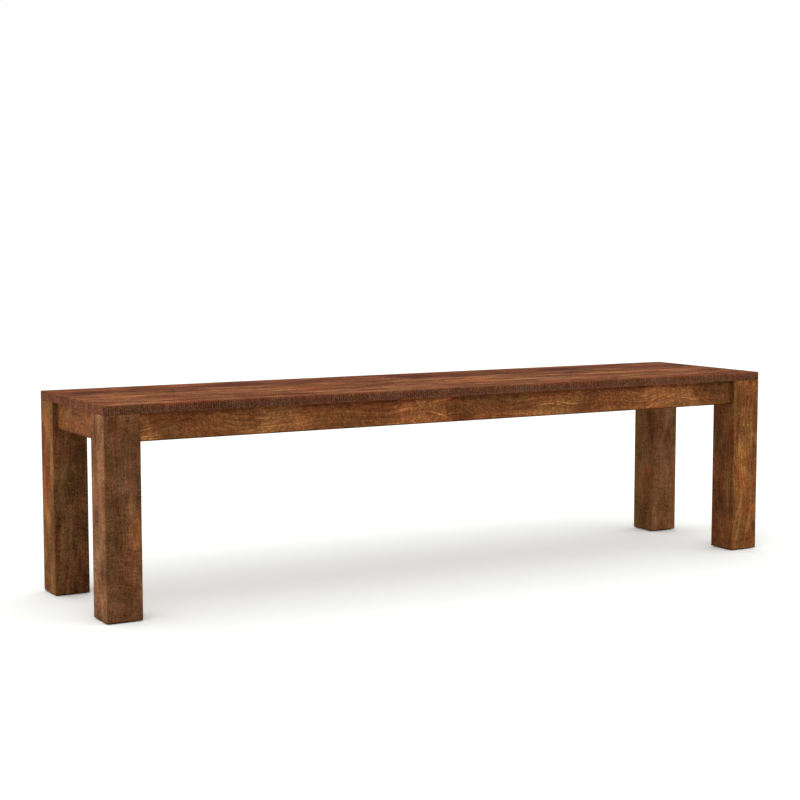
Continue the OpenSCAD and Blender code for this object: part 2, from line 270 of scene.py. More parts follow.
# One axis of an eased box: from an even grid to places that crowd into the rounded edges
def easedPlace(w, unit, half, cells, radius):
    edgeCells = float(memberRule["edgeCells"])
    halfCells = w.over(cells, 2.0)
    steps = w.times(w.minus(1.0, w.maths("ABSOLUTE", unit)), halfCells)
    angle = w.times(w.minus(1.0, w.over(steps, edgeCells, clamp=True)), math.pi / 4)
    arcPlace = w.times(radius, w.minus(1.0, w.maths("TANGENT", angle)))
    past = w.maths("MAXIMUM", w.minus(steps, edgeCells), 0.0)
    beside = w.times(w.maths("MINIMUM", past, 1.0), memberRule["besideEdge"])
    cellShare = w.over(w.maths("MAXIMUM", w.minus(past, 1.0), 0.0), w.minus(halfCells, edgeCells + 1))
    rest = w.times(cellShare, w.minus(w.minus(half, radius), memberRule["besideEdge"]))
    return w.times(w.maths("SIGN", unit), w.minus(half, w.plus(arcPlace, beside, rest)))


# A planed piece of wood: an even grid on a box, rounded at its edges, then worn, nicked and sawn a little
def buildPlanedMember():
    w, given = newGroup("planedMember", "GeometryNodeTree", {
        "Centre": origin, "Size": (1.0, 0.1, 0.1), "Cells Along X": 100, "Cells Along Y": 20, "Cells Along Z": 20,
        "Ease Radius": 0.002, "Ease Wander": 0.3, "Front Seam": 0.0, "Rear Seam": 0.0, "Seam Radius": 0.0004,
        "Hollow Depth": 0.0002, "Nick Depth": 0.0005, "Sawn Sides": origin, "Saw Depth": 0.0, "Saw Spacing": 0.005,
        "Saw Axis": (1.0, 0.0, 0.0), "Seed": 0.0, "Joinery": "Object", "Has Joinery": False, "Finish": "Material",
    }, {"Geometry": "Geometry"})
    counts = {f"Vertices {axis}": w.plus(given[f"Cells Along {axis}"], 1.0) for axis in "XYZ"}
    cube = w.add("GeometryNodeMeshCube", {"Size": (2.0, 2.0, 2.0), **counts})
    half = w.vectors("SCALE", w.vectors("SUBTRACT", given["Size"], (2 * memberRule["inside"],) * 3), 0.5)
    unit = w.add("GeometryNodeInputPosition").outputs[0]
    rough = w.vectors("MULTIPLY", unit, half)

    # Each pattern adds its own number to the seed, so that none repeats another
    def pattern(scaleName, seedShift, **settings):
        place = w.vectors("SCALE", rough, memberRule[scaleName])
        return w.noise(place, w.plus(given["Seed"], seedShift), **settings)

    # The edges' radius wanders along the piece, as hand easing leaves it; a glued seam stays nearly sharp
    wander = w.ramp(pattern("wanderScale", 0.0), *memberRule["wanderRange"])
    radius = w.times(given["Ease Radius"], w.plus(1.0, w.times(wander, given["Ease Wander"])))
    units = w.split(unit)
    onRear = w.maths("GREATER_THAN", units[1], 0.0)
    seam = w.plus(w.times(onRear, given["Rear Seam"]), w.times(w.minus(1.0, onRear), given["Front Seam"]))
    radiusY = w.plus(w.times(seam, given["Seam Radius"]), w.times(w.minus(1.0, seam), radius))
    halves = w.split(half)
    places = [easedPlace(w, units[i], halves[i], given[f"Cells Along {axis}"], radiusY if i == 1 else radius)
              for i, axis in enumerate("XYZ")]
    place = w.join(*places)
    reach = w.vectors("SUBTRACT", half, w.join(radius, w.times(radius, w.minus(1.0, seam)), radius))
    core = w.vectors("MAXIMUM", w.vectors("MINIMUM", place, reach), w.vectors("SCALE", reach, -1.0))
    outward = w.vectors("NORMALIZE", w.vectors("SUBTRACT", place, core))
    eased = w.vectors("ADD", core, w.vectors("SCALE", outward, radius))

    # Shallow hollows in the faces, nicks along the edges, a fine groove at a seam and ridges on the sawn sides
    hollow = w.times(pattern("hollowScale", 5.0), given["Hollow Depth"])
    lean = w.vectors("DOT_PRODUCT", w.vectors("ABSOLUTE", outward), (1.0, 1.0, 1.0))
    chips = w.ramp(pattern("chipScale", 9.0, detail=3.0), *memberRule["chipRange"])
    nick = w.times(w.ramp(lean, *memberRule["leanRange"]), chips, given["Nick Depth"])
    fromSeam = w.minus(halves[1], w.maths("ABSOLUTE", places[1]))
    inGroove = w.minus(given["Seam Radius"], w.maths("MINIMUM", fromSeam, given["Seam Radius"]))
    groove = w.times(seam, inGroove, memberRule["seamDepth"])
    drift = w.times(pattern("driftScale", 13.0), memberRule["drift"])
    sawPlace = w.vectors("DOT_PRODUCT", rough, given["Saw Axis"])
    turn = w.over(w.plus(sawPlace, drift), w.over(given["Saw Spacing"], 2 * math.pi))
    ridge = w.plus(w.times(w.maths("SINE", turn), 0.5), 0.5)
    sawn = w.vectors("DOT_PRODUCT", w.vectors("ABSOLUTE", outward), given["Sawn Sides"])
    sink = w.plus(hollow, nick, groove, w.times(ridge, sawn, given["Saw Depth"]))
    finished = w.vectors("SUBTRACT", eased, w.vectors("SCALE", outward, sink))
    placed = w.vectors("ADD", finished, given["Centre"])
    planed = w.moved(cube.outputs["Mesh"], *w.split(placed))

    # The solid of the same piece cuts its joinery: flats, grooves, slots, mortises and holes
    solid = w.add("GeometryNodeObjectInfo", {"Object": given["Joinery"]})
    cut = w.combine("INTERSECT", planed, solid.outputs["Geometry"])
    chosen = w.add("GeometryNodeSwitch", {"Switch": given["Has Joinery"], "False": planed, "True": cut},
                   input_type="GEOMETRY").outputs[0]
    shaded = w.shaded(chosen, memberRule["smoothBelow"])
    return closeGroup(w, {"Geometry": w.dressed(shaded, given["Finish"])})


# Runs a geometry tree and keeps its result as a plain mesh. Places are points, each with the way its piece faces.
def runTree(name, tree, values, material, places=()):
    base = bpy.data.meshes.new(name)
    base.from_pydata([point for point, facing in places], [], [])
    turns = base.attributes.new("turn", "FLOAT_VECTOR", "POINT")
    for index, (point, facing) in enumerate(places):
        turns.data[index].vector = facing.to_track_quat("Z", "Y").to_euler()
    piece = addObject(name, base)
    modifier = piece.modifiers.new("shape", "NODES")
    modifier.node_group = tree
    for item in tree.interface.items_tree:
        if item.item_type == "SOCKET" and item.in_out == "INPUT" and item.name in values:
            modifier[item.identifier] = values[item.name]
    keepShape(piece, material)
    return piece


# A CAD solid's mesh with its loose triangles merged
def mergedMesh(node):
    work = bmesh.new()
    work.from_mesh(nodes[node].data)
    bmesh.ops.remove_doubles(work, verts=work.verts, dist=0.001 * mm)
    return work


# A merged copy of a CAD solid, which only cuts
def mergedSolid(node):
    mesh = bpy.data.meshes.new(node + "Cutter")
    work = mergedMesh(node)
    work.to_mesh(mesh)
    work.free()
    return addObject(mesh.name, mesh)


# A colour as a paint chart gives it, from 0 to 255, turned into Blender's linear values
def paint(red, green, blue):
    chart = [value / 255 for value in (red, green, blue)]
    return [value / 12.92 if value <= 0.04045 else ((value + 0.055) / 1.055) ** 2.4 for value in chart] + [1.0]


# The figure of solid wood. Position runs along the grain in X, in metres, and every pattern has so many waves per
# metre along and across it. Each adds its own number to the seed, so that none repeats another.
grainRule = {
    "slow": (2.6, 9.0, 9.0), "slowTurn": 1.5, "slowShift": (0.05, -0.04),
    "sway": (9.0, 22.0, 22.0), "swayShift": (0.016, 0.02), "waveY": 0.6,
    "ringDrift": 3.0, "fineCount": 2.6, "fineDrift": 5.0, "fineRange": (0.55, 0.7),
    "zone": (9.0, 25.0, 25.0), "zoneRange": (0.5, 0.72), "curlAcross": 34.0,
    "streak": (9.0, 270.0), "fibre": (60.0, 800.0), "pore": (150.0, 1700.0), "poreRange": (0.32, 0.2),
    "cloud": (10.0, 20.0, 20.0), "hue": (8.0, 22.0, 22.0),
}


def buildWoodGrain():
    w, given = newGroup("woodGrain", "ShaderNodeTree", {
        "Position": origin, "Seed": 0.0, "Pith": (0.0, 0.1, -0.1), "Wave Length": 0.35, "Wave Height": 0.01,
        "Wave Start": 0.0, "Wave Rhythm": 0.18, "Ring Width": 0.008, "Curl Spacing": 0.008,
    }, dict.fromkeys(("Rings", "Flame", "Zone", "Curl", "Streaks", "Fibre", "Pores", "Cloud", "Hue"), 0.0))
    rule = grainRule

    def pattern(vector, seedShift, **settings):
        return w.noise(vector, w.plus(given["Seed"], seedShift), **settings)

    def stretched(name):
        return w.vectors("MULTIPLY", given["Position"], rule[name])

    # The grain bends in one long wave, and wanders slowly and then faster
    x, y, z = w.split(given["Position"])
    slow = w.centred(pattern(stretched("slow"), 0.0))
    sway = w.centred(pattern(stretched("sway"), 3.0))
    phase = w.over(w.minus(x, given["Wave Start"]), w.over(given["Wave Length"], 2 * math.pi))
    wave = w.times(w.maths("SINE", w.plus(phase, w.times(slow, rule["slowTurn"]))), given["Wave Height"])
    bentY = w.plus(w.minus(y, w.times(wave, rule["waveY"])), w.times(slow, rule["slowShift"][0]),
                   w.times(sway, rule["swayShift"][0]))
    bentZ = w.plus(w.minus(z, wave), w.times(slow, rule["slowShift"][1]), w.times(sway, rule["swayShift"][1]))

    # Threads that follow the bent grain
    def alongGrain(name):
        along, across = rule[name]
        return w.join(w.times(x, along), w.times(bentY, across), w.times(bentZ, across))

    distance = w.vectors("LENGTH", w.vectors("SUBTRACT", w.join(0.0, bentY, bentZ), given["Pith"]))
    ringCount = w.over(distance, given["Ring Width"])
    rings = pattern(w.join(ringCount, w.times(x, rule["ringDrift"]), 0.0), 7.0, detail=4.0, roughness=0.62)
    fine = pattern(w.join(w.times(ringCount, rule["fineCount"]), w.times(x, rule["fineDrift"]), 0.0), 11.0)
    rhythm = w.times(w.maths("COSINE", phase), given["Wave Rhythm"])
    zone = w.ramp(w.plus(pattern(stretched("zone"), 17.0, detail=1.0), rhythm), *rule["zoneRange"])
    curlPlace = w.join(w.over(x, given["Curl Spacing"]), w.times(bentY, rule["curlAcross"]),
                       w.times(bentZ, rule["curlAcross"]))
    pores = pattern(alongGrain("pore"), 29.0, detail=0.0)
    return closeGroup(w, {
        "Rings": rings,
        "Flame": w.times(w.ramp(fine, *rule["fineRange"]), zone),
        "Zone": zone,
        "Curl": pattern(curlPlace, 19.0, roughness=0.65),
        "Streaks": pattern(alongGrain("streak"), 21.0, detail=3.0, roughness=0.7),
        "Fibre": pattern(alongGrain("fibre"), 23.0, roughness=0.6),
        "Pores": w.ramp(pores, *rule["poreRange"]),
        "Cloud": pattern(stretched("cloud"), 31.0, detail=2.5, distortion=0.3),
        "Hue": pattern(stretched("hue"), 37.0, detail=3.0, roughness=0.6, distortion=0.3),
    })


# Fine rows across the grain, as a saw and the figure leave them, which bend by their sway, and a mottle
sawRule = {"bend": (12.0, 26.0, 26.0), "leanY": 0.05, "leanZ": 0.07, "tickAcross": 50.0, "driftScale": 60.0,
           "drift": 9.0, "toothShare": 0.38, "mottle": (190.0, 400.0, 400.0)}


def buildSawMarks():
    w, given = newGroup("sawMarks", "ShaderNodeTree", {
        "Position": origin, "Saw Spacing": 0.004, "Tick Sway": 0.03, "Seed": 0.0,
    }, {"Ticks": 0.0, "Teeth": 0.0, "Mottle": 0.0})
    position, spacing, seed, rule = given["Position"], given["Saw Spacing"], given["Seed"], sawRule
    x, y, z = w.split(position)
    bend = w.noise(w.vectors("MULTIPLY", position, rule["bend"]), w.plus(seed, 4.0), detail=1.0)
    lean = w.plus(x, w.times(y, rule["leanY"]), w.times(z, rule["leanZ"]),
                  w.times(w.centred(bend), given["Tick Sway"]))
    tickPlace = w.join(w.over(lean, spacing), w.times(y, rule["tickAcross"]), w.times(z, rule["tickAcross"]))
    drift = w.times(w.noise(w.vectors("SCALE", position, rule["driftScale"]), seed, detail=1.0), rule["drift"])
    tooth = w.maths("SINE", w.plus(w.over(lean, w.times(spacing, rule["toothShare"])), drift))
    return closeGroup(w, {
        "Ticks": w.noise(tickPlace, seed, roughness=0.7),
        "Teeth": w.plus(0.5, w.times(tooth, 0.5)),
        "Mottle": w.noise(w.vectors("MULTIPLY", position, rule["mottle"]), w.plus(seed, 2.0), detail=3.0,
                          roughness=0.65),
    })


# A soft-edged patch, as at a knot, a stain or a streak of other wood
patchRule = {"ragged": (45.0, 80.0, 80.0), "fade": (1.3, 0.3)}


def buildPatch():
    w, given = newGroup("woodPatch", "ShaderNodeTree", {
        "Position": origin, "Centre": origin, "Radii": (0.02, 0.02, 0.02), "Raggedness": 0.9, "Seed": 0.0,
        "Under": white, "Tint": white, "Strength": 1.0,
    }, {"Colour": white, "Mask": 0.0})
    offset = w.vectors("DIVIDE", w.vectors("SUBTRACT", given["Position"], given["Centre"]), given["Radii"])
    ragged = w.noise(w.vectors("MULTIPLY", given["Position"], patchRule["ragged"]), given["Seed"], detail=3.0,
                     roughness=0.6)
    distance = w.plus(w.vectors("LENGTH", offset), w.times(w.centred(ragged), given["Raggedness"], 2.0))
    mask = w.times(w.ramp(distance, *patchRule["fade"]), given["Strength"])
    tint = w.blend(mask, white, given["Tint"])
    return closeGroup(w, {"Colour": w.vectors("MULTIPLY", given["Under"], tint), "Mask": mask})


# Where hands and wear reach first: the edges of a box of the given half size
wearRule = {"uneven": (45.0, 160.0, 160.0), "unevenRange": (0.3, 0.75), "widths": (0.2, 2.0),
            "endRange": (1.6 * mm, 0.8 * mm)}


def buildEdgeWear():
    w, given = newGroup("edgeWear", "ShaderNodeTree", {
        "Position": origin, "Half Size": (0.5, 0.05, 0.05), "Wear Width": 0.003, "Seed": 0.0,
    }, {"Mask": 0.0, "Ends": 0.0})
    inset = w.vectors("SUBTRACT", given["Half Size"], w.vectors("ABSOLUTE", given["Position"]))
    a, b, c = w.split(inset)
    low = w.maths("MINIMUM", a, b)
    high = w.maths("MAXIMUM", a, b)
    middle = w.maths("MAXIMUM", low, w.maths("MINIMUM", high, c))   # of the three: small where two faces meet
    uneven = w.noise(w.vectors("MULTIPLY", given["Position"], wearRule["uneven"]), given["Seed"], detail=3.0)
    width = w.times(given["Wear Width"], w.ramp(uneven, *wearRule["unevenRange"], to=wearRule["widths"]))
    return closeGroup(w, {"Mask": w.minus(1.0, w.over(middle, width, clamp=True)),
                          "Ends": w.ramp(a, *wearRule["endRange"])})


woodGrain = buildWoodGrain()
sawMarks = buildSawMarks()
woodPatch = buildPatch()
edgeWear = buildEdgeWear()

# Where the five tones of a wood stand, and how much its rare darkest and lightest fibres go past them
toneStops = (0.17, 0.37, 0.5, 0.63, 0.83)
toneEnds = (0.6, 1.14)

# How each axis of grain turns the pattern, so that its own X runs along the wood
grainTurns = {"x": (0.0, 0.0, 0.0), "y": (0.0, 0.0, math.pi / 2), "z": (0.0, -math.pi / 2, 0.0)}

# What a patch does to the colour under it
patchTints = {
    "red": (1.35, 0.85, 0.85), "rust": (1.15, 0.87, 0.72), "gold": (1.38, 1.18, 0.86), "tan": (1.22, 1.26, 1.25),
    "rose": (1.12, 1.02, 1.1), "olive": (0.84, 0.95, 0.78), "pale": (1.35, 1.5, 1.75), "umber": (0.7, 0.65, 0.5),
    "dark": (0.58, 0.58, 0.56), "wine": (0.62, 0.52, 0.48), "shade": (0.5, 0.48, 0.49), "dusk": (0.56, 0.6, 0.8),
    "black": (0.34, 0.34, 0.33), "plum": (0.52, 0.63, 1.04), "line": (0.16, 0.08, 0.06), "slate": (0.6, 0.63, 1.0),
}


# A reach in millimetres that covers all of a face or an edge
wholeReach = 3000


# A patch's centre and reach, from its place on a face in millimetres: along from the left as one looks at that
# face, and up from the floor, or back from the front on the top
def patchPlace(face, along, up, reachAlong, reachUp, low, high, depth=6.0):
    along, up, reachAlong, reachUp = (value * mm for value in (along, up, reachAlong, reachUp))
    depth = min(reachAlong, reachUp, depth * mm)   # how far it goes into the wood
    if face == "front":
        return Vector((low.x + along, low.y, up)), (reachAlong, depth, reachUp)
    if face == "left":
        return Vector((low.x, high.y - along, up)), (depth, reachAlong, reachUp)
    return Vector((low.x + along, low.y + up, high.z)), (reachAlong, reachUp, depth)


# An edge of a box, named by its side on each axis: -1 low, 1 high, and 0 for the axis that it runs along
def edgePlace(sides, width, low, high):
    centre = [(low[i] * (1 - side) + high[i] * (1 + side)) / 2 for i, side in enumerate(sides)]
    return Vector(centre), [width if side else wholeReach * mm for side in sides]


# A vector as the pattern of a piece sees it: along the grain first
def turned(vector, grain):
    x, y, z = vector
    return {"x": (x, y, z), "y": (y, -x, z), "z": (z, y, -x)}[grain]


# What all the wood's materials share: how far the tones spread, how ragged each kind of patch is, the two layers of
# an edge (kind, share of its width, share of its strength), how a sawn face mixes its marks about a middle tone, and
# what the patterns add to the surface's height and roughness
woodRule = {
    "toneSpread": 0.66, "hueRange": (0.35, 0.65), "bumpStrength": 1.0,
    "faceDepth": 3.5, "faceRagged": 0.3, "patchRagged": 0.9, "edgeRagged": 0.4, "raggedReach": 1.6,
    "edgeLayers": (("gold", 2.3, 0.45), ("line", 1.0, 1.0)),
    "sawnRagged": 0.2, "sawnMiddle": 0.48, "speckleScale": 450.0,
    "sawnMix": {"Ticks": 0.75, "Teeth": 0.2, "Speckle": 1.2, "Mottle": 0.9, "Cloud": 0.4},
    "heights": {"Rings": 0.25, "Streaks": 0.3, "Fibre": 0.2, "Curl": 0.3}, "poreHeight": -0.4,
    "streakRough": 0.25, "poreRough": 0.2, "wearRough": -0.08,
}


def makeWood(name, centre, size, grain, look, low, high):
    material, w, place = startMaterial(name)
    position = w.add("ShaderNodeMapping", {"Vector": place, "Location": centre, "Rotation": grainTurns[grain]},
                     vector_type="TEXTURE").outputs[0]
    halfSize = [abs(value) / 2 for value in turned(size, grain)]
    rule, seed = woodRule, look["Seed"]
    values = {**look, "Position": position, "Half Size": halfSize}
    patterns = {**dict(w.use(woodGrain, values).items()), **dict(w.use(sawMarks, values).items())}
    wear = w.use(edgeWear, values)

    # One tone from dark to light, which picks the colour from the wood's own range
    tone = 0.5
    for part in ("Rings", "Cloud", "Curl", "Streaks", "Fibre", "Ticks", "Mottle"):
        tone = w.plus(tone, w.times(w.centred(patterns[part]), look[part]))
    tone = w.plus(tone, w.times(patterns["Flame"], look["Flame"]), w.times(patterns["Pores"], look["Pores"]),
                  w.times(w.centred(patterns["Zone"]), look["Zone"]))

    # A patch, or nothing where it misses this piece
    def patch(centreThere, reach, raggedness, index=0, under=white, tint=white, strength=1.0):
        offset = turned(centreThere - Vector(centre), grain)
        radii = [abs(value) for value in turned(reach, grain)]
        if any(abs(o) > h + rule["raggedReach"] * r for o, h, r in zip(offset, halfSize, radii)):
            return None
        return w.use(woodPatch, {"Position": position, "Centre": offset, "Radii": radii, "Seed": seed + index,
                                 "Raggedness": raggedness, "Under": under, "Tint": tint, "Strength": strength})

    # Sawn faces have a tone of their own
    for *spot, spacing, amount in look["sawn"]:
        sawn = patch(*patchPlace(*spot, low, high), rule["sawnRagged"])
        if sawn:
            x, y, z = w.split(position)
            alongEdge = w.join(y, x, z) if spot[0] == "left" else position
            edgeMarks = w.use(sawMarks, {"Position": alongEdge, "Saw Spacing": spacing, "Tick Sway": 0.0,
                                         "Seed": seed + 0.7})
            speckle = w.noise(w.vectors("SCALE", position, rule["speckleScale"]), seed + 0.3, detail=1.0)
            parts = {**patterns, "Ticks": edgeMarks["Ticks"], "Teeth": edgeMarks["Teeth"], "Speckle": speckle}
            rough = w.plus(rule["sawnMiddle"], *(w.times(w.centred(parts[part]), amount, share)
                                                 for part, share in rule["sawnMix"].items()))
            tone = w.plus(w.times(tone, w.minus(1.0, sawn["Mask"])), w.times(rough, sawn["Mask"]))
    tone = w.plus(w.times(tone, rule["toneSpread"]), (1 - rule["toneSpread"]) / 2)
    toneRange = w.add("ShaderNodeValToRGB", {"Fac": tone})
    stops = toneRange.color_ramp.elements
    for end, tones, share in zip(stops, (look["tones"][0], look["tones"][-1]), toneEnds):
        end.color = paint(*(value * share for value in tones))
    for stop, shade in zip(toneStops, look["tones"]):
        stops.new(stop).color = paint(*shade)
    hueSide = w.ramp(patterns["Hue"], *rule["hueRange"])
    hueTint = w.blend(hueSide, look["coolTint"] + (1.0,), look["warmTint"] + (1.0,))
    colour = w.vectors("MULTIPLY", toneRange.outputs["Color"], hueTint)

    # Whole faces, patches and edges, each as its kind, centre, reach, strength and raggedness
    faces = [(kind, *patchPlace(face, 0, 0, wholeReach, wholeReach, low, high, rule["faceDepth"]), strength,
              rule["faceRagged"]) for kind, face, strength in look["faces"]]
    patches = [(kind, *patchPlace(face, *spot, low, high), strength, rule["patchRagged"])
               for face, group in look["patches"] for kind, *spot, strength in group]
    edges = [(kind, *edgePlace(sides, width * scale * mm, low, high), strength * share, rule["edgeRagged"])
             for sides, width, strength in look["edges"] for kind, scale, share in rule["edgeLayers"]]

    def tinted(under, layers):
        for index, (kind, there, reach, strength, raggedness) in enumerate(layers):
            laid = patch(there, reach, raggedness, index, under, patchTints[kind] + (1.0,), strength)
            under = laid["Colour"] if laid else under
        return under

    colour = tinted(colour, faces + patches)
    colour = w.blend(w.times(wear["Mask"], look["wearAmount"]), colour, paint(*look["worn"]))
    colour = w.blend(w.times(wear["Ends"], look["endAmount"]), colour, w.vectors("MULTIPLY", colour, look["endTint"]))
    colour = tinted(colour, edges)

    height = w.plus(*(w.times(patterns[part], share) for part, share in rule["heights"].items()),
                    w.times(patterns["Ticks"], look["tickRelief"]), w.times(patterns["Pores"], rule["poreHeight"]))
    bump = w.add("ShaderNodeBump", {"Height": height, "Strength": rule["bumpStrength"], "Distance": look["relief"]})
    roughness = w.plus(look["roughness"], w.times(w.centred(patterns["Streaks"]), rule["streakRough"]),
                       w.times(patterns["Pores"], rule["poreRough"]), w.times(wear["Mask"], rule["wearRough"]))
    w.surfaced({"Base Color": colour, "Roughness": roughness, "Specular IOR Level": look["specular"],
                "Normal": bump.outputs[0]})
    return material


memberTree = buildPlanedMember()


# One piece of wood: its eased mesh, its own material, and its place on the frame
def makeMember(node, grain, shape, look, frontSeam=False, rearSeam=False, joinery=True, whole=None):
    low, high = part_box(node)
    low, high = Vector(low), Vector(high)
    size = high - low
    centre = (low + high) / 2
    least = 2 * (memberRule["edgeCells"] + 2)
    material = makeWood(node + "Finish", centre, size, grain, look, *(whole or (low, high)))
    values = {**shape, "Centre": centre, "Size": size, "Front Seam": float(frontSeam), "Rear Seam": float(rearSeam),
              "Saw Axis": [float(axis == grain) for axis in "xyz"], "Seed": look["Seed"],
              "Has Joinery": joinery, "Finish": material}
    for axis, extent, cell in zip("XYZ", size, shape["cellSize"]):
        values[f"Cells Along {axis}"] = max(least, round(extent / cell))
    if joinery:
        values["Joinery"] = mergedSolid(node)
    piece = runTree(node + "_wood", memberTree, values, material)
    if joinery:
        bpy.data.objects.remove(values["Joinery"])
    settle(piece, node)


# What all the wood shares; each member's look changes some of it. Keys with a capital are the patterns' inputs and
# how much each pattern counts. Patches stand under their face, each as its kind, its place and reach there in
# millimetres, and its strength. A sawn face has a place too, and the spacing and strength of its marks.
commonLook = {
    "Seed": 0.0, "Pith": (0.0, 0.12, -0.10), "Wave Length": 0.35, "Wave Height": 0.010, "Wave Start": 0.0,
    "Wave Rhythm": 0.18, "Ring Width": 0.009, "Curl Spacing": 0.010, "Saw Spacing": 0.0036, "Tick Sway": 0.035,
    "Rings": 0.9, "Cloud": 1.5, "Curl": 0.5, "Streaks": 1.3, "Fibre": 1.0,
    "Ticks": 0.9, "Mottle": 1.5, "Flame": 0.3, "Zone": 0.0, "Pores": -0.7,
    "coolTint": (0.92, 1.02, 0.94), "warmTint": (1.08, 0.95, 0.94), "sawn": [],
    "tickRelief": 0.5, "relief": 0.35 * mm, "roughness": 0.78, "specular": 0.06,
    "Wear Width": 2.5 * mm, "wearAmount": 0.3, "endAmount": 0.8, "worn": (165, 105, 52), "endTint": (0.7, 0.66, 0.62),
    "tones": ((76, 47, 26), (100, 63, 36), (118, 76, 44), (134, 88, 52), (160, 110, 66)),
    "faces": [], "patches": [], "edges": [],
}

# How each kind of piece is cut, eased and worn, and what the saw left on it
commonShape = {"Ease Wander": 0.5, "Seam Radius": 0.35 * mm, "Nick Depth": 0.4 * mm, "Sawn Sides": (0.0, 0.0, 0.0),
               "Saw Depth": 0.0, "Saw Spacing": 5 * mm}
boardShape = {**commonShape, "cellSize": (2.2 * mm, 5 * mm, 2 * mm), "Ease Radius": 1.1 * mm,
              "Hollow Depth": 0.25 * mm}
edgeBoardShape = {**boardShape, "cellSize": (1.25 * mm, 5 * mm, 2 * mm), "Sawn Sides": (0.0, 1.0, 0.0),
                  "Saw Depth": 0.10 * mm}
legShape = {**commonShape, "cellSize": (4 * mm, 4 * mm, 2.5 * mm), "Ease Radius": 1.05 * mm,
            "Hollow Depth": 0.3 * mm}
apronShape = {**legShape, "cellSize": (3 * mm, 3 * mm, 3 * mm)}

# The top: reddish brown, darker along its rear third, with a paler line at the front that is a painted highlight on
# the rounded front edge
topLook = {
    **commonLook, "tones": ((66, 30, 11), (110, 55, 22), (130, 74, 39), (147, 90, 53), (179, 123, 82)),
    "Cloud": 1.2, "Rings": 1.9, "Ring Width": 0.022, "Wave Length": 0.445, "Wave Height": 0.006,
    "Streaks": 1.7, "Ticks": 0.55, "Tick Sway": 0.012, "Mottle": 1.2, "worn": (160, 100, 72),
    "endTint": (0.97, 1.03, 1.15), "specular": 0.04, "roughness": 0.82,
    "sawn": [("front", 880, 440, 3000, 30, 2.1 * mm, 1.15), ("left", 203, 440, 3000, 30, 3.2 * mm, 1.4)],
    "patches": [
        ("top", [("wine", 80, 308, 60, 45, 0.9), ("wine", 450, 318, 110, 42, 1.0), ("wine", 925, 313, 80, 48, 1.0),
            ("wine", 1370, 308, 85, 45, 1.0), ("wine", 880, 330, 3000, 75, 0.52), ("rust", 880, 345, 3000, 60, 0.7),
            ("umber", 80, 308, 55, 40, 0.5), ("umber", 450, 318, 100, 38, 0.5), ("umber", 925, 313, 75, 42, 0.5),
            ("umber", 1370, 308, 80, 40, 0.5), ("gold", 90, 165, 50, 48, 0.5), ("gold", 540, 180, 60, 46, 0.5),
            ("gold", 990, 165, 70, 50, 0.5), ("gold", 1470, 180, 75, 42, 0.5), ("dark", 100, 66, 30, 15, 0.5),
            ("dark", 210, 66, 18, 13, 0.4), ("dark", 570, 66, 35, 15, 0.5), ("dark", 750, 66, 20, 13, 0.4),
            # The rose line at the end of this row is a painted highlight along the rounded front edge
            ("dark", 1010, 66, 35, 15, 0.5), ("dark", 1470, 63, 35, 15, 0.5), ("rose", 880, 8, 3000, 14, 0.8)]),
        ("front", [("plum", 880, 440, 3000, 22, 1.0)]),
        ("left", [("slate", 203, 440, 3000, 22, 0.55), ("pale", 203, 440, 3000, 22, 0.27)]),
        ("front", [("dark", 240, 440, 460, 22, 0.4), ("tan", 1300, 440, 700, 22, 0.32)]),
    ],
    # The dark lines along the lower front and lower left edges are painted shadow where the top meets the aprons and
    # legs
    "edges": [((0, -1, -1), 3.0, 0.85), ((-1, 0, -1), 2.6, 0.6), ((1, 0, 1), 5.0, 0.5), ((-1, 1, 0), 3.0, 0.6)]}

# How light each board of the top is beside the others, from the front back
boardShares = (1.0, 1.03, 0.97, 0.96)
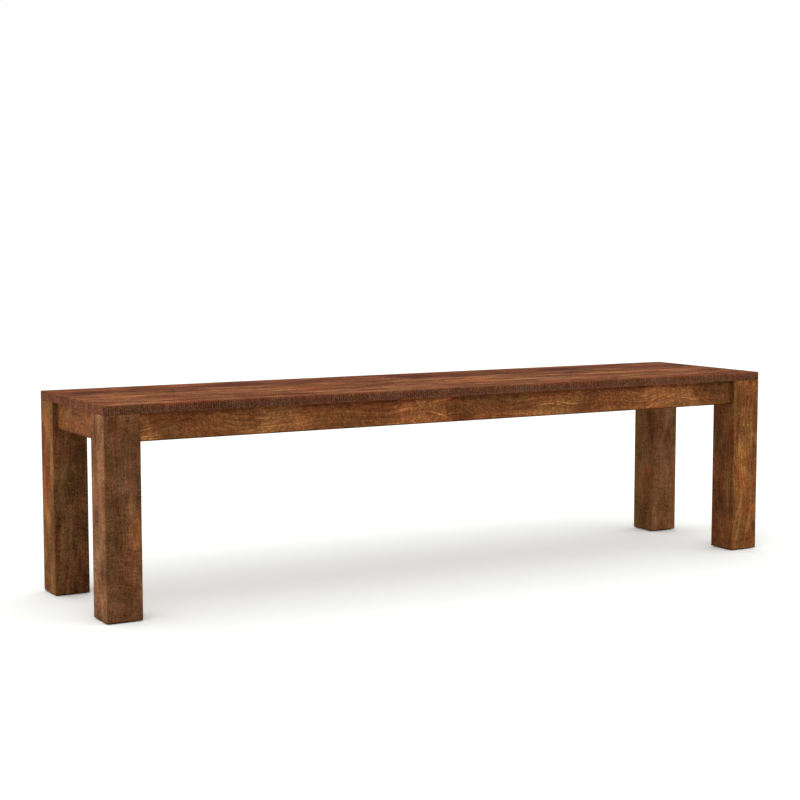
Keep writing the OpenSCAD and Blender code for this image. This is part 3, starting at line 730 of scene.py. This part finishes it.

# The rear-left and front-right upright edges of a leg, with a gold band and a dark line, and the lower front and left
# edges at the foot, where the dark line is painted shade
legEdges = [((-1, 1, 0), 2.6, 0.55), ((1, -1, 0), 2.2, 0.6), ((0, -1, -1), 2.8, 0.8), ((-1, 0, -1), 2.8, 0.8)]
legLooks = {
    "leg_front_left": {
        "Seed": 60.0, "Cloud": 2.1, "Mottle": 1.7, "Ticks": 1.35, "Streaks": 1.1,
        "coolTint": (0.95, 1.0, 0.97),
        "tones": ((94, 60, 35), (123, 82, 50), (138, 95, 59), (152, 107, 69), (178, 130, 89)),
        "faces": [("shade", "front", 0.95)],
        "patches": [
            ("front", [("rust", 28, 405, 26, 30, 0.6), ("dark", 45, 325, 25, 42, 0.6),
                ("olive", 10, 345, 9, 50, 0.7), ("red", 60, 293, 6, 5, 0.9), ("wine", 28, 252, 20, 20, 0.8),
                ("black", 47, 264, 8, 20, 0.6), ("gold", 70, 195, 9, 55, 0.7), ("dark", 22, 172, 9, 12, 0.8),
                ("pale", 50, 162, 10, 3, 0.4), ("gold", 48, 130, 30, 95, 0.35), ("olive", 52, 215, 16, 40, 0.3),
                ("wine", 45, 58, 38, 24, 0.7), ("gold", 60, 14, 8, 10, 0.5)]),
            ("left", [("tan", 66, 320, 12, 20, 0.6), ("tan", 48, 285, 12, 22, 0.5), ("rose", 40, 390, 45, 60, 0.6),
                ("wine", 50, 172, 28, 38, 0.3), ("rose", 40, 240, 40, 60, 0.7), ("rose", 40, 60, 40, 60, 0.5)]),
        ]},
    "leg_rear_left": {
        "Seed": 78.0, "Cloud": 2.1, "Mottle": 2.0,
        "tones": ((84, 50, 24), (114, 70, 35), (131, 83, 42), (146, 95, 50), (172, 117, 67)),
        "faces": [("dusk", "front", 0.95)],
        "patches": [
            ("front", [("black", 60, 315, 22, 30, 0.5), ("dark", 62, 165, 22, 30, 0.45),
                ("olive", 30, 120, 16, 22, 0.6), ("pale", 14, 125, 5, 18, 0.35), ("olive", 40, 260, 30, 40, 0.4)]),
            ("left", [("rose", 26, 270, 22, 100, 0.5), ("rust", 24, 290, 26, 130, 0.7),
                ("red", 41, 255, 9, 90, 0.6), ("olive", 66, 235, 12, 32, 0.3), ("dark", 62, 150, 20, 22, 0.45),
                ("red", 45, 70, 5, 35, 0.5), ("gold", 15, 60, 8, 60, 0.4), ("gold", 18, 400, 12, 30, 0.5)]),
        ]},
    "leg_front_right": {
        "Seed": 69.0, "tones": ((83, 47, 21), (115, 69, 34), (134, 82, 44), (149, 94, 51), (176, 122, 73)),
        "Streaks": 2.0, "Fibre": 1.3, "Ticks": 0.8, "Mottle": 1.3,
        "faces": [("shade", "left", 0.78)],
        "patches": [
            ("front", [("gold", 30, 360, 4, 45, 0.8), ("gold", 60, 425, 6, 14, 0.8),
                ("dark", 35, 308, 34, 10, 0.35), ("gold", 35, 250, 28, 34, 0.35), ("rust", 24, 175, 14, 32, 0.7),
                ("gold", 39, 180, 5, 32, 0.6), ("gold", 31, 108, 6, 40, 0.6), ("rust", 48, 105, 10, 18, 0.6),
                ("olive", 68, 340, 8, 50, 0.9), ("dark", 69, 340, 7, 45, 0.6), ("dark", 72, 265, 7, 22, 0.8),
                ("black", 71, 62, 8, 32, 0.9)]),
            ("left", [("olive", 22, 300, 16, 32, 0.8), ("dark", 22, 300, 16, 32, 0.35),
                ("red", 70, 300, 9, 28, 0.6), ("wine", 45, 220, 26, 34, 0.4), ("gold", 17, 165, 6, 38, 0.7),
                ("gold", 35, 180, 4, 30, 0.4), ("gold", 60, 40, 18, 10, 0.4)]),
        ]},
    "leg_rear_right": {
        "Seed": 87.0, "tones": ((87, 53, 29), (112, 73, 42), (128, 87, 54), (141, 98, 63), (165, 119, 82)),
        "Streaks": 1.55, "Fibre": 1.2, "Ticks": 1.0,
        "faces": [("umber", "left", 0.9)],
        "patches": [
            ("front", [("rose", 50, 200, 30, 90, 0.9), ("pale", 34, 125, 12, 24, 0.6),
                ("pale", 60, 205, 16, 40, 0.35), ("olive", 22, 65, 10, 18, 0.7), ("dark", 40, 330, 40, 20, 0.25)]),
            ("left", [("dark", 22, 200, 14, 16, 0.7), ("olive", 24, 205, 18, 22, 0.6),
                ("rust", 54, 165, 22, 22, 0.8), ("rust", 48, 240, 12, 10, 0.5), ("dark", 65, 320, 14, 18, 0.35),
                ("black", 31, 52, 3.5, 3, 0.9)]),
        ]},
}

# The aprons: golden flames rise to the right in four bright zones, with darker wood between
apronLook = {
    **commonLook, "Wave Length": 0.355, "Wave Start": -0.467, "Wave Height": 0.026, "Wave Rhythm": 0.34,
    "Ring Width": 0.0075, "Flame": 0.6, "Zone": 0.22, "Rings": 1.0, "Cloud": 0.6,
    "Curl": 0.4, "Streaks": 1.45, "Ticks": 0.8, "Mottle": 0.9,
    "tones": ((82, 45, 20), (110, 66, 34), (127, 78, 43), (144, 91, 52), (184, 125, 74)),
    "edges": [((0, -1, -1), 3.0, 0.85), ((-1, 0, -1), 3.0, 0.7)]}
frontApronPatchesAndShadow = [
    ("front", [("dark", 90, 410, 190, 50, 0.15), ("dark", 122, 405, 40, 30, 0.3), ("dark", 470, 405, 65, 30, 0.3),
        ("dark", 810, 410, 60, 28, 0.3), ("dark", 1140, 410, 60, 28, 0.25), ("dark", 1540, 410, 50, 28, 0.25),
        # Painted shadow along the top of the apron, under the overhang of the top
        ("wine", 800, 437, 3000, 12, 0.85)]),
]

# The cross rails: plain paler wood under the top, left as the saw cut it
railShape = {**apronShape, "cellSize": (1.6 * mm, 2 * mm, 3 * mm), "Sawn Sides": (0.0, 0.0, 0.8),
             "Saw Depth": 0.12 * mm, "Saw Spacing": 4.2 * mm}
railLook = {
    **commonLook, "tones": ((120, 84, 50), (146, 108, 70), (160, 123, 82), (174, 137, 94), (196, 160, 116)),
    "Ring Width": 0.006, "Rings": 1.1, "Cloud": 0.7, "Ticks": 1.2, "Saw Spacing": 0.0042,
    "Mottle": 1.0, "roughness": 0.85, "worn": (178, 140, 98)}

wholeBench = (Vector(cadBox[0]), Vector(cadBox[1]))
for index, share in enumerate(boardShares, 1):
    shape = edgeBoardShape if index in (1, 4) else boardShape
    tones = [[value * share for value in tone] for tone in topLook["tones"]]
    makeMember(f"top_board_{index}", "x", shape, {**topLook, "Seed": 2.0 + 11 * index, "tones": tones},
               frontSeam=index > 1, rearSeam=index < 4, joinery=False, whole=wholeBench)
for node, look in legLooks.items():
    makeMember(node, "z", legShape, {**commonLook, "edges": legEdges, **look})
makeMember("apron_front", "x", apronShape, {**apronLook, "Seed": 110.0, "patches": frontApronPatchesAndShadow})
makeMember("apron_rear", "x", apronShape, {**apronLook, "Seed": 117.0})
for index, node in enumerate(("apron_left", "apron_right")):
    look = {**apronLook, "Wave Rhythm": 0.0, "Zone": -0.1, "Seed": 140.0 + 7 * index}
    makeMember(node, "y", apronShape, look)
for index in range(1, 4):
    makeMember(f"cross_rail_{index}", "y", railShape, {**railLook, "Seed": 170.0 + 9 * index})
print("wood done")


# Zinc on steel: a faint spangle, a dull bloom, stains and a few scratches
coatRule = {
    "bloomScale": 90.0, "bloomRange": (0.4, 0.68), "stainScale": 140.0, "stainRange": (0.6, 0.76),
    "scratches": ((1400.0, 30.0, 60.0), (60.0, 1300.0, 35.0), (45.0, 60.0, 1500.0)), "scratchRange": (0.69, 0.76),
    "speckScale": 900.0, "spangleDull": 0.3, "speckDull": 0.6, "stainStrength": 0.4,
    "spangleHeight": 0.15, "speckHeight": 0.4, "scratchHeight": -0.6, "bloomHeight": 0.3,
}


def buildZincCoat():
    w, given = newGroup("zincCoat", "ShaderNodeTree", {
        "Position": origin, "Spangle Size": 0.003, "Bloom": 0.5, "Scratches": 0.5, "Seed": 0.0,
        "Bright": (0.6, 0.6, 0.6, 1.0), "Dull": (0.3, 0.3, 0.3, 1.0), "Stain": (0.3, 0.25, 0.15, 1.0),
    }, {"Colour": white, "Dullness": 0.0, "Height": 0.0})
    position, seed, rule = given["Position"], given["Seed"], coatRule

    def pattern(scaleName, seedShift, **settings):
        return w.noise(w.vectors("SCALE", position, rule[scaleName]), w.plus(seed, seedShift), **settings)

    cellPlace = w.vectors("SCALE", position, w.over(1.0, given["Spangle Size"]))
    cells = w.add("ShaderNodeTexVoronoi", {"Vector": cellPlace, "W": seed, "Scale": 1.0}, voronoi_dimensions="4D")
    spangle = w.split(cells.outputs["Color"])[0]
    bloom = w.ramp(pattern("bloomScale", 0.0, detail=4.0, roughness=0.6), *rule["bloomRange"])
    speck = pattern("speckScale", 3.0)
    stain = w.ramp(pattern("stainScale", 5.0, detail=3.0), *rule["stainRange"])
    scratch = 0.0
    for index, stretch in enumerate(rule["scratches"]):
        line = w.noise(w.vectors("MULTIPLY", position, stretch), w.plus(seed, 7.0 + index), detail=1.0)
        scratch = w.plus(scratch, w.ramp(line, *rule["scratchRange"]))
    scratch = w.times(scratch, given["Scratches"])
    dullness = w.plus(w.times(spangle, rule["spangleDull"]), w.times(bloom, given["Bloom"]),
                      w.times(w.centred(speck), rule["speckDull"]))
    colour = w.blend(w.maths("ADD", dullness, 0.0, clamp=True), given["Bright"], given["Dull"])
    colour = w.blend(w.times(stain, rule["stainStrength"]), colour, given["Stain"])
    colour = w.blend(w.maths("ADD", scratch, 0.0, clamp=True), colour, given["Bright"])
    height = w.plus(w.times(spangle, rule["spangleHeight"]), w.times(speck, rule["speckHeight"]),
                    w.times(scratch, rule["scratchHeight"]), w.times(bloom, rule["bloomHeight"]))
    return closeGroup(w, {"Colour": colour, "Dullness": dullness, "Height": height})


zincCoat = buildZincCoat()
zincRule = {"bright": (208, 209, 205), "dull": (162, 164, 164), "stain": (140, 128, 104), "relief": 0.03 * mm,
            "reliefStrength": 0.6, "smooth": 0.28, "rough": 0.52}


def makeZinc(name, rule, look):
    material, w, place = startMaterial(name)
    coat = w.use(zincCoat, {**look, "Position": place, "Bright": paint(*rule["bright"]),
                            "Dull": paint(*rule["dull"]), "Stain": paint(*rule["stain"])})
    roughness = w.ramp(coat["Dullness"], 0.0, 1.0, to=(rule["smooth"], rule["rough"]))
    bump = w.add("ShaderNodeBump", {"Height": coat["Height"], "Strength": rule["reliefStrength"],
                                    "Distance": rule["relief"]})
    w.surfaced({"Base Color": coat["Colour"], "Metallic": 1.0, "Roughness": roughness, "Normal": bump.outputs[0]})
    return material


# Moulded nylon: nearly black brown, finely pitted, and greyed where it rubs on the floor
nylonRule = {
    "body": (52, 45, 40), "shadow": (43, 37, 33), "rubbed": (92, 84, 76), "rubbedHeights": (0.8 * mm, 0.1 * mm),
    "pitScale": 1500.0, "cloudScale": 160.0, "cloudRange": (0.3, 0.7), "scuff": (260.0, 1500.0, 300.0),
    "scuffShare": 0.6, "scuffRange": (0.38, 0.62), "smooth": 0.42, "rough": 0.62, "pitRough": 0.12,
    "relief": 0.04 * mm, "reliefStrength": 0.7, "specular": 0.4,
}


def makeNylon(name, rule):
    material, w, place = startMaterial(name)
    pits = w.noise(w.vectors("SCALE", place, rule["pitScale"]), 1.0, detail=3.0, roughness=0.6)
    cloud = w.noise(w.vectors("SCALE", place, rule["cloudScale"]), 4.0, detail=3.0)
    scuff = w.noise(w.vectors("MULTIPLY", place, rule["scuff"]), 7.0)
    low = w.ramp(w.split(place)[2], *rule["rubbedHeights"])
    scuffed = w.plus(w.times(scuff, rule["scuffShare"]), w.times(cloud, 1 - rule["scuffShare"]))
    rubbed = w.times(low, w.ramp(scuffed, *rule["scuffRange"]))
    colour = w.blend(w.ramp(cloud, *rule["cloudRange"]), paint(*rule["shadow"]), paint(*rule["body"]))
    colour = w.blend(rubbed, colour, paint(*rule["rubbed"]))
    roughness = w.plus(rule["smooth"], w.times(rubbed, rule["rough"] - rule["smooth"]),
                       w.times(pits, rule["pitRough"]))
    bump = w.add("ShaderNodeBump", {"Height": w.plus(pits, w.times(scuff, rubbed)),
                                    "Strength": rule["reliefStrength"], "Distance": rule["relief"]})
    w.surfaced({"Base Color": colour, "Roughness": roughness, "Specular IOR Level": rule["specular"],
                "Normal": bump.outputs[0]})
    return material


# What the fasteners' drawings share: how many sides each round part has, the share of a bar's radius left at its tip,
# and whole turns added so that a thread's turn is never below zero
drawnRule = {
    "screwSides": 14, "boltSides": 18, "nailSides": 12, "nailHeadSides": 28, "headSides": 40, "headRings": 10,
    "washerSides": 48, "washerEdge": 3, "nutSides": 60, "nutHoleSides": 32, "smoothBelow": 38, "tip": 0.06,
    "wholeTurns": 100.0,
}


# A round bar along Z, threaded in stretches of (from, to, pitch, root share), which narrows to a point at its end
def drawBar(w, radius, start, end, point, stretches, sides, rings):
    bar = w.cylinder(sides, rings, fill="TRIANGLE_FAN")
    x, y, z = w.points()
    along = w.plus(start, w.times(w.plus(z, 1.0), w.minus(end, start), 0.5))
    angle = w.over(w.maths("ARCTAN2", y, x), 2 * math.pi)
    share = 1.0
    for low, high, pitch, rootShare in stretches:
        turn = w.maths("FRACT", w.plus(w.minus(w.over(along, pitch), angle), drawnRule["wholeTurns"]))
        valley = w.maths("ABSOLUTE", w.minus(w.times(turn, 2.0), 1.0))
        runOut = w.times(w.over(w.minus(along, low), pitch, clamp=True),
                         w.over(w.minus(high, along), pitch, clamp=True))
        share = w.minus(share, w.times(valley, w.minus(1.0, rootShare), runOut))
    taper = w.plus(drawnRule["tip"], w.times(w.over(w.minus(end, along), point, clamp=True), 1 - drawnRule["tip"]))
    reach = w.times(radius, share, taper)
    return w.moved(bar, w.times(x, reach), w.times(y, reach), along)


# A tree that stands one fastener at each place and turns each by chance about its own axis. The fastener's own
# dictionary names its inputs.
def buildFastenerSet(name, rule, drawOne):
    w, given = newGroup(name, "GeometryNodeTree", {
        "Places": "Geometry", "Twist": 0.0, "Seed": 1, **rule, "Finish": "Material",
    }, {"Geometry": "Geometry"})
    drawn = w.shaded(drawOne(w, given), drawnRule["smoothBelow"])
    chance = w.add("FunctionNodeRandomValue", {3: given["Twist"], "Seed": given["Seed"]}, data_type="FLOAT")
    turn = w.add("GeometryNodeInputNamedAttribute", {"Name": "turn"}, data_type="FLOAT_VECTOR")
    aimed = w.add("FunctionNodeEulerToRotation", {0: turn.outputs["Attribute"]}).outputs[0]
    twist = w.add("FunctionNodeEulerToRotation", {0: w.join(0.0, 0.0, chance.outputs[1])}).outputs[0]
    both = w.add("FunctionNodeRotateRotation", {0: aimed, 1: twist}, rotation_space="LOCAL").outputs[0]
    placed = w.add("GeometryNodeInstanceOnPoints", {"Points": given["Places"], "Instance": drawn, "Rotation": both})
    return closeGroup(w, {"Geometry": w.dressed(placed.outputs[0], given["Finish"])})


# A pan-head screw: its thread and point stand up from zero, and its domed head hangs below with a cross recess, which
# narrows as it goes in. The shares are of the head's height and radius, and of the screw's length.
screwHead = {"sunk": 0.3, "plainShank": 0.1, "rim": 0.3, "rimHeight": 0.5, "crownInset": 0.3, "recessTaper": 0.16}
screwRule = {"Head Radius": 4 * mm, "Head Height": 2.4 * mm, "Shank Radius": 2 * mm, "Length": 14 * mm,
             "Point Length": 4 * mm, "Pitch": 1.8 * mm, "Root Share": 0.66, "Recess Length": 4.4 * mm,
             "Recess Width": 1.04 * mm, "Recess Depth": 1.44 * mm, "Thread Rings": 44, "Twist": math.pi, "Seed": 5}


def drawScrew(w, given):
    rule = screwHead
    headRadius, headHeight, length = given["Head Radius"], given["Head Height"], given["Length"]
    shank = drawBar(w, given["Shank Radius"], w.times(headHeight, -rule["sunk"]), length, given["Point Length"],
                    [(w.times(length, rule["plainShank"]), length, given["Pitch"], given["Root Share"])],
                    drawnRule["screwSides"], given["Thread Rings"])
    disc = w.cylinder(drawnRule["headSides"], drawnRule["headRings"], fill="TRIANGLE_FAN")
    x, y, z = w.points()
    down = w.times(w.minus(1.0, z), 0.5)
    dome = w.times(w.over(w.minus(down, rule["rim"]), 1 - rule["rim"], clamp=True), math.pi / 2)
    inset = w.times(w.minus(1.0, w.maths("COSINE", dome)), rule["crownInset"])
    reach = w.times(headRadius, w.minus(1.0, inset))
    sides = w.times(w.over(down, rule["rim"], clamp=True), rule["rimHeight"])
    crown = w.times(w.maths("SINE", dome), 1 - rule["rimHeight"])
    head = w.moved(disc, w.times(x, reach), w.times(y, reach), w.times(headHeight, w.plus(sides, crown), -1.0))
    wings = []
    long, wide = given["Recess Length"], given["Recess Width"]
    for across, deep in ((long, wide), (wide, long)):
        box = w.add("GeometryNodeMeshCube", {"Size": (2.0, 2.0, 2.0)}).outputs["Mesh"]
        x, y, z = w.points()
        narrow = w.minus(1 - rule["recessTaper"], w.times(z, rule["recessTaper"]))
        wings.append(w.moved(box, w.times(x, across, narrow, 0.5), w.times(y, deep, narrow, 0.5),
                             w.minus(w.times(z, given["Recess Depth"]), headHeight)))
    return w.combine("DIFFERENCE", w.combine("UNION", head, shank), *wings)


screwTree = buildFastenerSet("crossScrews", screwRule, drawScrew)


# A hanger bolt: a fine machine thread on its stud, below zero, and a coarse wood thread above
boltRule = {"Radius": 4 * mm, "Stud Length": 22 * mm, "Lag Length": 40 * mm, "Plain Length": 3 * mm,
            "Point Length": 6 * mm, "Stud Pitch": 1.25 * mm, "Stud Root Share": 0.85, "Lag Pitch": 3 * mm,
            "Lag Root Share": 0.7, "Thread Rings": 220}


def drawHangerBolt(w, given):
    studEnd, lagEnd, plain = w.times(given["Stud Length"], -1.0), given["Lag Length"], given["Plain Length"]
    stretches = [(studEnd, w.times(plain, -1.0), given["Stud Pitch"], given["Stud Root Share"]),
                 (plain, lagEnd, given["Lag Pitch"], given["Lag Root Share"])]
    return drawBar(w, given["Radius"], studEnd, lagEnd, given["Point Length"], stretches, drawnRule["boltSides"],
                   given["Thread Rings"])


boltTree = buildFastenerSet("hangerBolts", boltRule, drawHangerBolt)


# A flat washer: a ring of plate with its edges a little rounded
washerRule = {"Outer Radius": 8 * mm, "Hole Radius": 4.5 * mm, "Thickness": 1.6 * mm, "Edge Radius": 0.25 * mm}


def drawWasher(w, given):
    width = w.minus(given["Outer Radius"], given["Hole Radius"])
    middle = w.times(w.plus(given["Outer Radius"], given["Hole Radius"]), 0.5)
    ring = w.add("GeometryNodeCurvePrimitiveCircle", {"Resolution": drawnRule["washerSides"], "Radius": middle})
    section = w.add("GeometryNodeCurvePrimitiveQuadrilateral", {"Width": width, "Height": given["Thickness"]})
    eased = w.add("GeometryNodeFilletCurve", {"Curve": section.outputs[0], "Radius": given["Edge Radius"],
                                              "Count": drawnRule["washerEdge"]}, mode="POLY")
    return w.add("GeometryNodeCurveToMesh", {"Curve": ring.outputs[0], "Profile Curve": eased.outputs[0],
                                             "Fill Caps": False}).outputs[0]


washerTree = buildFastenerSet("flatWashers", washerRule, drawWasher)


# A hexagon nut about zero: six flats, both ends chamfered as a turning tool leaves them, and its hole
nutRule = {"Across Flats": 13 * mm, "Height": 6.5 * mm, "Hole Radius": 4.1 * mm, "Chamfer": 0.78 * mm}
nutBody = {"flats": 6, "bands": 3, "endBeyond": 0.9, "pastCorners": 1.001, "holeShare": 1.2}   # shares of its size


def drawNut(w, given):
    rule = nutBody
    flats, height = given["Across Flats"], given["Height"]
    cornerRadius = w.over(flats, 2 * math.cos(math.pi / rule["flats"]))
    prism = w.cylinder(rule["flats"], radius=cornerRadius, depth=height)
    body = w.cylinder(drawnRule["nutSides"], rule["bands"])
    x, y, z = w.points()
    atEnd = w.maths("GREATER_THAN", w.maths("ABSOLUTE", z), rule["endBeyond"])
    inward = w.minus(1.0, atEnd)
    level = w.times(w.maths("SIGN", z), w.minus(w.times(height, 0.5), w.times(inward, given["Chamfer"])))
    reach = w.plus(w.times(atEnd, flats, 0.5), w.times(inward, cornerRadius, rule["pastCorners"]))
    turnedBody = w.moved(body, w.times(x, reach), w.times(y, reach), level)
    hole = w.cylinder(drawnRule["nutHoleSides"], radius=given["Hole Radius"],
                      depth=w.times(height, rule["holeShare"]))
    return w.combine("DIFFERENCE", w.combine("INTERSECT", prism, turnedBody), hole)


nutTree = buildFastenerSet("hexNuts", nutRule, drawNut)


# A glide's nail: a flat head at zero, and a shank with fine rings that hold it in the wood
nailShank = {"from": 0.2, "to": 0.8, "rootShare": 0.9}   # shares of its length with rings, and the radius between
nailRule = {"Head Radius": 4.5 * mm, "Head Height": 1 * mm, "Shank Radius": 1.2 * mm, "Length": 19 * mm,
            "Point Length": 3 * mm, "Ring Pitch": 1.2 * mm, "Thread Rings": 60}


def drawNail(w, given):
    length, headMiddle = given["Length"], w.times(given["Head Height"], 0.5)
    head = w.cylinder(drawnRule["nailHeadSides"], radius=given["Head Radius"], depth=given["Head Height"])
    lifted = w.add("GeometryNodeTransform", {"Geometry": head, "Translation": w.join(0.0, 0.0, headMiddle)})
    ringed = (w.times(length, nailShank["from"]), w.times(length, nailShank["to"]), given["Ring Pitch"],
              nailShank["rootShare"])
    shank = drawBar(w, given["Shank Radius"], headMiddle, length, given["Point Length"], [ringed],
                    drawnRule["nailSides"], given["Thread Rings"])
    return w.combine("UNION", lifted.outputs[0], shank)


nailTree = buildFastenerSet("ringedNails", nailRule, drawNail)


# The box of each separate solid in a CAD node
def solidBoxes(node):
    work = mergedMesh(node)
    left, boxes = set(work.verts), []
    while left:
        reached = [left.pop()]
        for vert in reached:   # the list grows while it is read
            for edge in vert.link_edges:
                other = edge.other_vert(vert)
                if other in left:
                    left.remove(other)
                    reached.append(other)
        corners = [[pick(vert.co[i] for vert in reached) for i in range(3)] for pick in (min, max)]
        boxes.append([Vector(corner) for corner in corners])
    work.free()
    return boxes


def outwards(value):
    return 1.0 if value > 0 else -1.0


# Screws that go sideways out through a plate into an apron: from the box's inner end, past the head
def sidewaysPlaces(node, headHeight):
    places = []
    for low, high in solidBoxes(node):
        centre, size = (low + high) / 2, high - low
        axis = 0 if size.x > size.y else 1
        facing = Vector((0.0, 0.0, 0.0))
        facing[axis] = outwards(centre[axis])
        places.append((centre - facing * (size[axis] / 2 - headHeight), facing))
    return places


def upwardPlaces(node, headHeight):
    return [(Vector(((low.x + high.x) / 2, (low.y + high.y) / 2, low.z + headHeight)), Vector((0.0, 0.0, 1.0)))
            for low, high in solidBoxes(node)]


# Bolts, washers and nuts that face a leg across the corner: at the middle of each box, or so far back from its tip
def cornerPlaces(node, fromTip=None):
    places = []
    for low, high in solidBoxes(node):
        point = (low + high) / 2
        facing = Vector((outwards(point.x), outwards(point.y), 0.0))
        if fromTip is not None:
            point.x = high.x if facing.x > 0 else low.x
            point.y = high.y if facing.y > 0 else low.y
            point -= facing.normalized() * fromTip
        places.append((point, facing.normalized()))
    return places


def makeFasteners(node, tree, values, places, material):
    piece = runTree(node + "_set", tree, {**values, "Finish": material}, material, places)
    settle(piece, node)


# A plate, clip or glide: the solid's own form with its bends rounded, then all its edges eased. A bend is an edge of
# the given length that turns by more than so many radians; the other angles are in degrees.
bendRule = {"flatWithin": 1, "lengthWithin": 0.05 * mm, "bentBeyond": 0.5, "bendCells": 3, "easeCells": 2,
            "easeBeyond": 40, "smoothBelow": 35}


def makeBentPiece(node, name, rule, material):
    work = mergedMesh(node)
    bmesh.ops.dissolve_limit(work, angle_limit=math.radians(bendRule["flatWithin"]), verts=work.verts,
                             edges=work.edges)
    bends = [edge for edge in work.edges
             if abs(edge.calc_length() - rule["bendLength"]) < bendRule["lengthWithin"]
             and edge.calc_face_angle(0.0) > bendRule["bentBeyond"]]
    bmesh.ops.bevel(work, geom=bends, offset=rule["bendRadius"], offset_type="OFFSET",
                    segments=bendRule["bendCells"], profile=0.5, affect="EDGES", clamp_overlap=True)
    mesh = bpy.data.meshes.new(name)
    work.to_mesh(mesh)
    work.free()
    piece = addObject(name, mesh)
    ease = piece.modifiers.new("ease", "BEVEL")
    ease.width = rule["edgeEase"]
    ease.segments = bendRule["easeCells"]
    ease.limit_method = "ANGLE"
    ease.angle_limit = math.radians(bendRule["easeBeyond"])
    keepShape(piece, material)
    piece.data.shade_smooth()
    piece.data.set_sharp_from_angle(angle=math.radians(bendRule["smoothBelow"]))
    settle(piece, node)


plateRule = {"bendLength": 40 * mm, "bendRadius": 0.8 * mm, "edgeEase": 0.25 * mm, "slot": "zinc_steel"}
clipRule = {"bendLength": 20 * mm, "bendRadius": 0.55 * mm, "edgeEase": 0.18 * mm, "slot": "zinc_steel"}
glideRule = {"bendLength": 0.0, "bendRadius": 0.0, "edgeEase": 0.3 * mm, "slot": "nylon"}

# The smaller the part, the finer its spangle and the less it is scratched
screwCoat = {"Spangle Size": 1.2 * mm, "Bloom": 0.35, "Scratches": 0.4, "Seed": 3.0}
boltCoat = {"Spangle Size": 1.8 * mm, "Bloom": 0.55, "Scratches": 0.5, "Seed": 8.0}
sheetCoat = {"Spangle Size": 3.5 * mm, "Bloom": 0.6, "Scratches": 0.8, "Seed": 14.0}

screwZinc = makeZinc("screwZinc", zincRule, screwCoat)
boltZinc = makeZinc("boltZinc", zincRule, boltCoat)
sheetZinc = makeZinc("sheetZinc", zincRule, sheetCoat)
glideNylon = makeNylon("glideNylon", nylonRule)

headHeight = screwRule["Head Height"]
makeFasteners("plate_screws", screwTree, screwRule, sidewaysPlaces("plate_screws", headHeight), screwZinc)
makeFasteners("clip_screws", screwTree, {**screwRule, "Seed": 9}, upwardPlaces("clip_screws", headHeight), screwZinc)
makeFasteners("rail_screws", screwTree, {**screwRule, "Length": 32 * mm, "Thread Rings": 96, "Seed": 14},
              upwardPlaces("rail_screws", headHeight), screwZinc)
makeFasteners("hanger_bolts", boltTree, boltRule, cornerPlaces("hanger_bolts", boltRule["Lag Length"]), boltZinc)
makeFasteners("bolt_washers", washerTree, washerRule, cornerPlaces("bolt_washers"), boltZinc)
makeFasteners("bolt_nuts", nutTree, nutRule, cornerPlaces("bolt_nuts"), boltZinc)
makeFasteners("glide_nails", nailTree, nailRule, upwardPlaces("glide_nails", 0.0), screwZinc)
for node in list(nodes):
    if node.startswith("corner_plate"):
        makeBentPiece(node, node + "_steel", plateRule, sheetZinc)
    if node.startswith("top_clip"):
        makeBentPiece(node, node + "_steel", clipRule, sheetZinc)
    if node.startswith("glide_") and node != "glide_nails":
        makeBentPiece(node, node + "_moulded", glideRule, glideNylon)
print("hardware done")

# The photograph's camera, solved from the bench's own corners
cameraRule = {"place": (-2.09369, -3.5222, 0.80673), "yaw": 0.52311, "pitch": -0.09658, "lens": 76.945,
              "sensor": 36.0}


def makeCamera(rule):
    data = bpy.data.cameras.new("photoCamera")
    data.sensor_width = rule["sensor"]
    data.lens = rule["lens"]
    camera = addObject("photoCamera", data)
    camera.location = rule["place"]
    camera.rotation_euler = Euler((math.pi / 2 + rule["pitch"], 0.0, -rule["yaw"]))
    scene.camera = camera


# A white studio: a pale floor, an even dome, and one large soft lamp high on the left. The camera sees the floor and
# the dome as plain white, whatever light they throw on the bench.
studioRule = {
    "floorHalf": 40.0, "floorDrop": 0.1 * mm, "floorColour": 0.8, "floorSeen": (1.23, 1.268, 1.243),
    "domeStrength": 0.93, "seenWhite": 1.0,
    "keyPlace": (-1.475, -2.106, 3.264), "keyTarget": (0.0, 0.0, 0.2), "keySize": 3.0, "keyPower": 15.0,
}


def makeStudio(rule):
    half, low = rule["floorHalf"], -rule["floorDrop"]
    mesh = bpy.data.meshes.new("studioFloor")
    corners = [(-half, -half, low), (half, -half, low), (half, half, low), (-half, half, low)]
    mesh.from_pydata(corners, [], [(0, 1, 2, 3)])
    addObject("studioFloor", mesh)
    material = bpy.data.materials.new("studioFloor")
    w = startNodes(material)
    paper = w.add("ShaderNodeBsdfDiffuse", {"Color": (rule["floorColour"],) * 3 + (1.0,)})
    shown = w.add("ShaderNodeBsdfDiffuse", {"Color": rule["floorSeen"] + (1.0,)})
    both = w.add("ShaderNodeMixShader", {0: w.seen(), 1: paper.outputs[0], 2: shown.outputs[0]})
    w.add("ShaderNodeOutputMaterial", {"Surface": both.outputs[0]})
    mesh.materials.append(material)

    scene.world = bpy.data.worlds.new("studioDome")
    w = startNodes(scene.world)
    seen = w.seen()
    strength = w.plus(w.times(seen, rule["seenWhite"]), w.times(w.minus(1.0, seen), rule["domeStrength"]))
    dome = w.add("ShaderNodeBackground", {"Color": (1.0, 1.0, 1.0, 1.0), "Strength": strength})
    w.add("ShaderNodeOutputWorld", {"Surface": dome.outputs[0]})

    data = bpy.data.lights.new("softKey", "AREA")
    data.shape = "DISK"
    data.size = rule["keySize"]
    data.energy = rule["keyPower"]
    key = addObject("softKey", data)
    key.location = rule["keyPlace"]
    key.rotation_euler = (Vector(rule["keyTarget"]) - key.location).to_track_quat("-Z", "Y").to_euler()


makeCamera(cameraRule)
makeStudio(studioRule)
scene.view_settings.view_transform = "Standard"
print("camera and studio done")
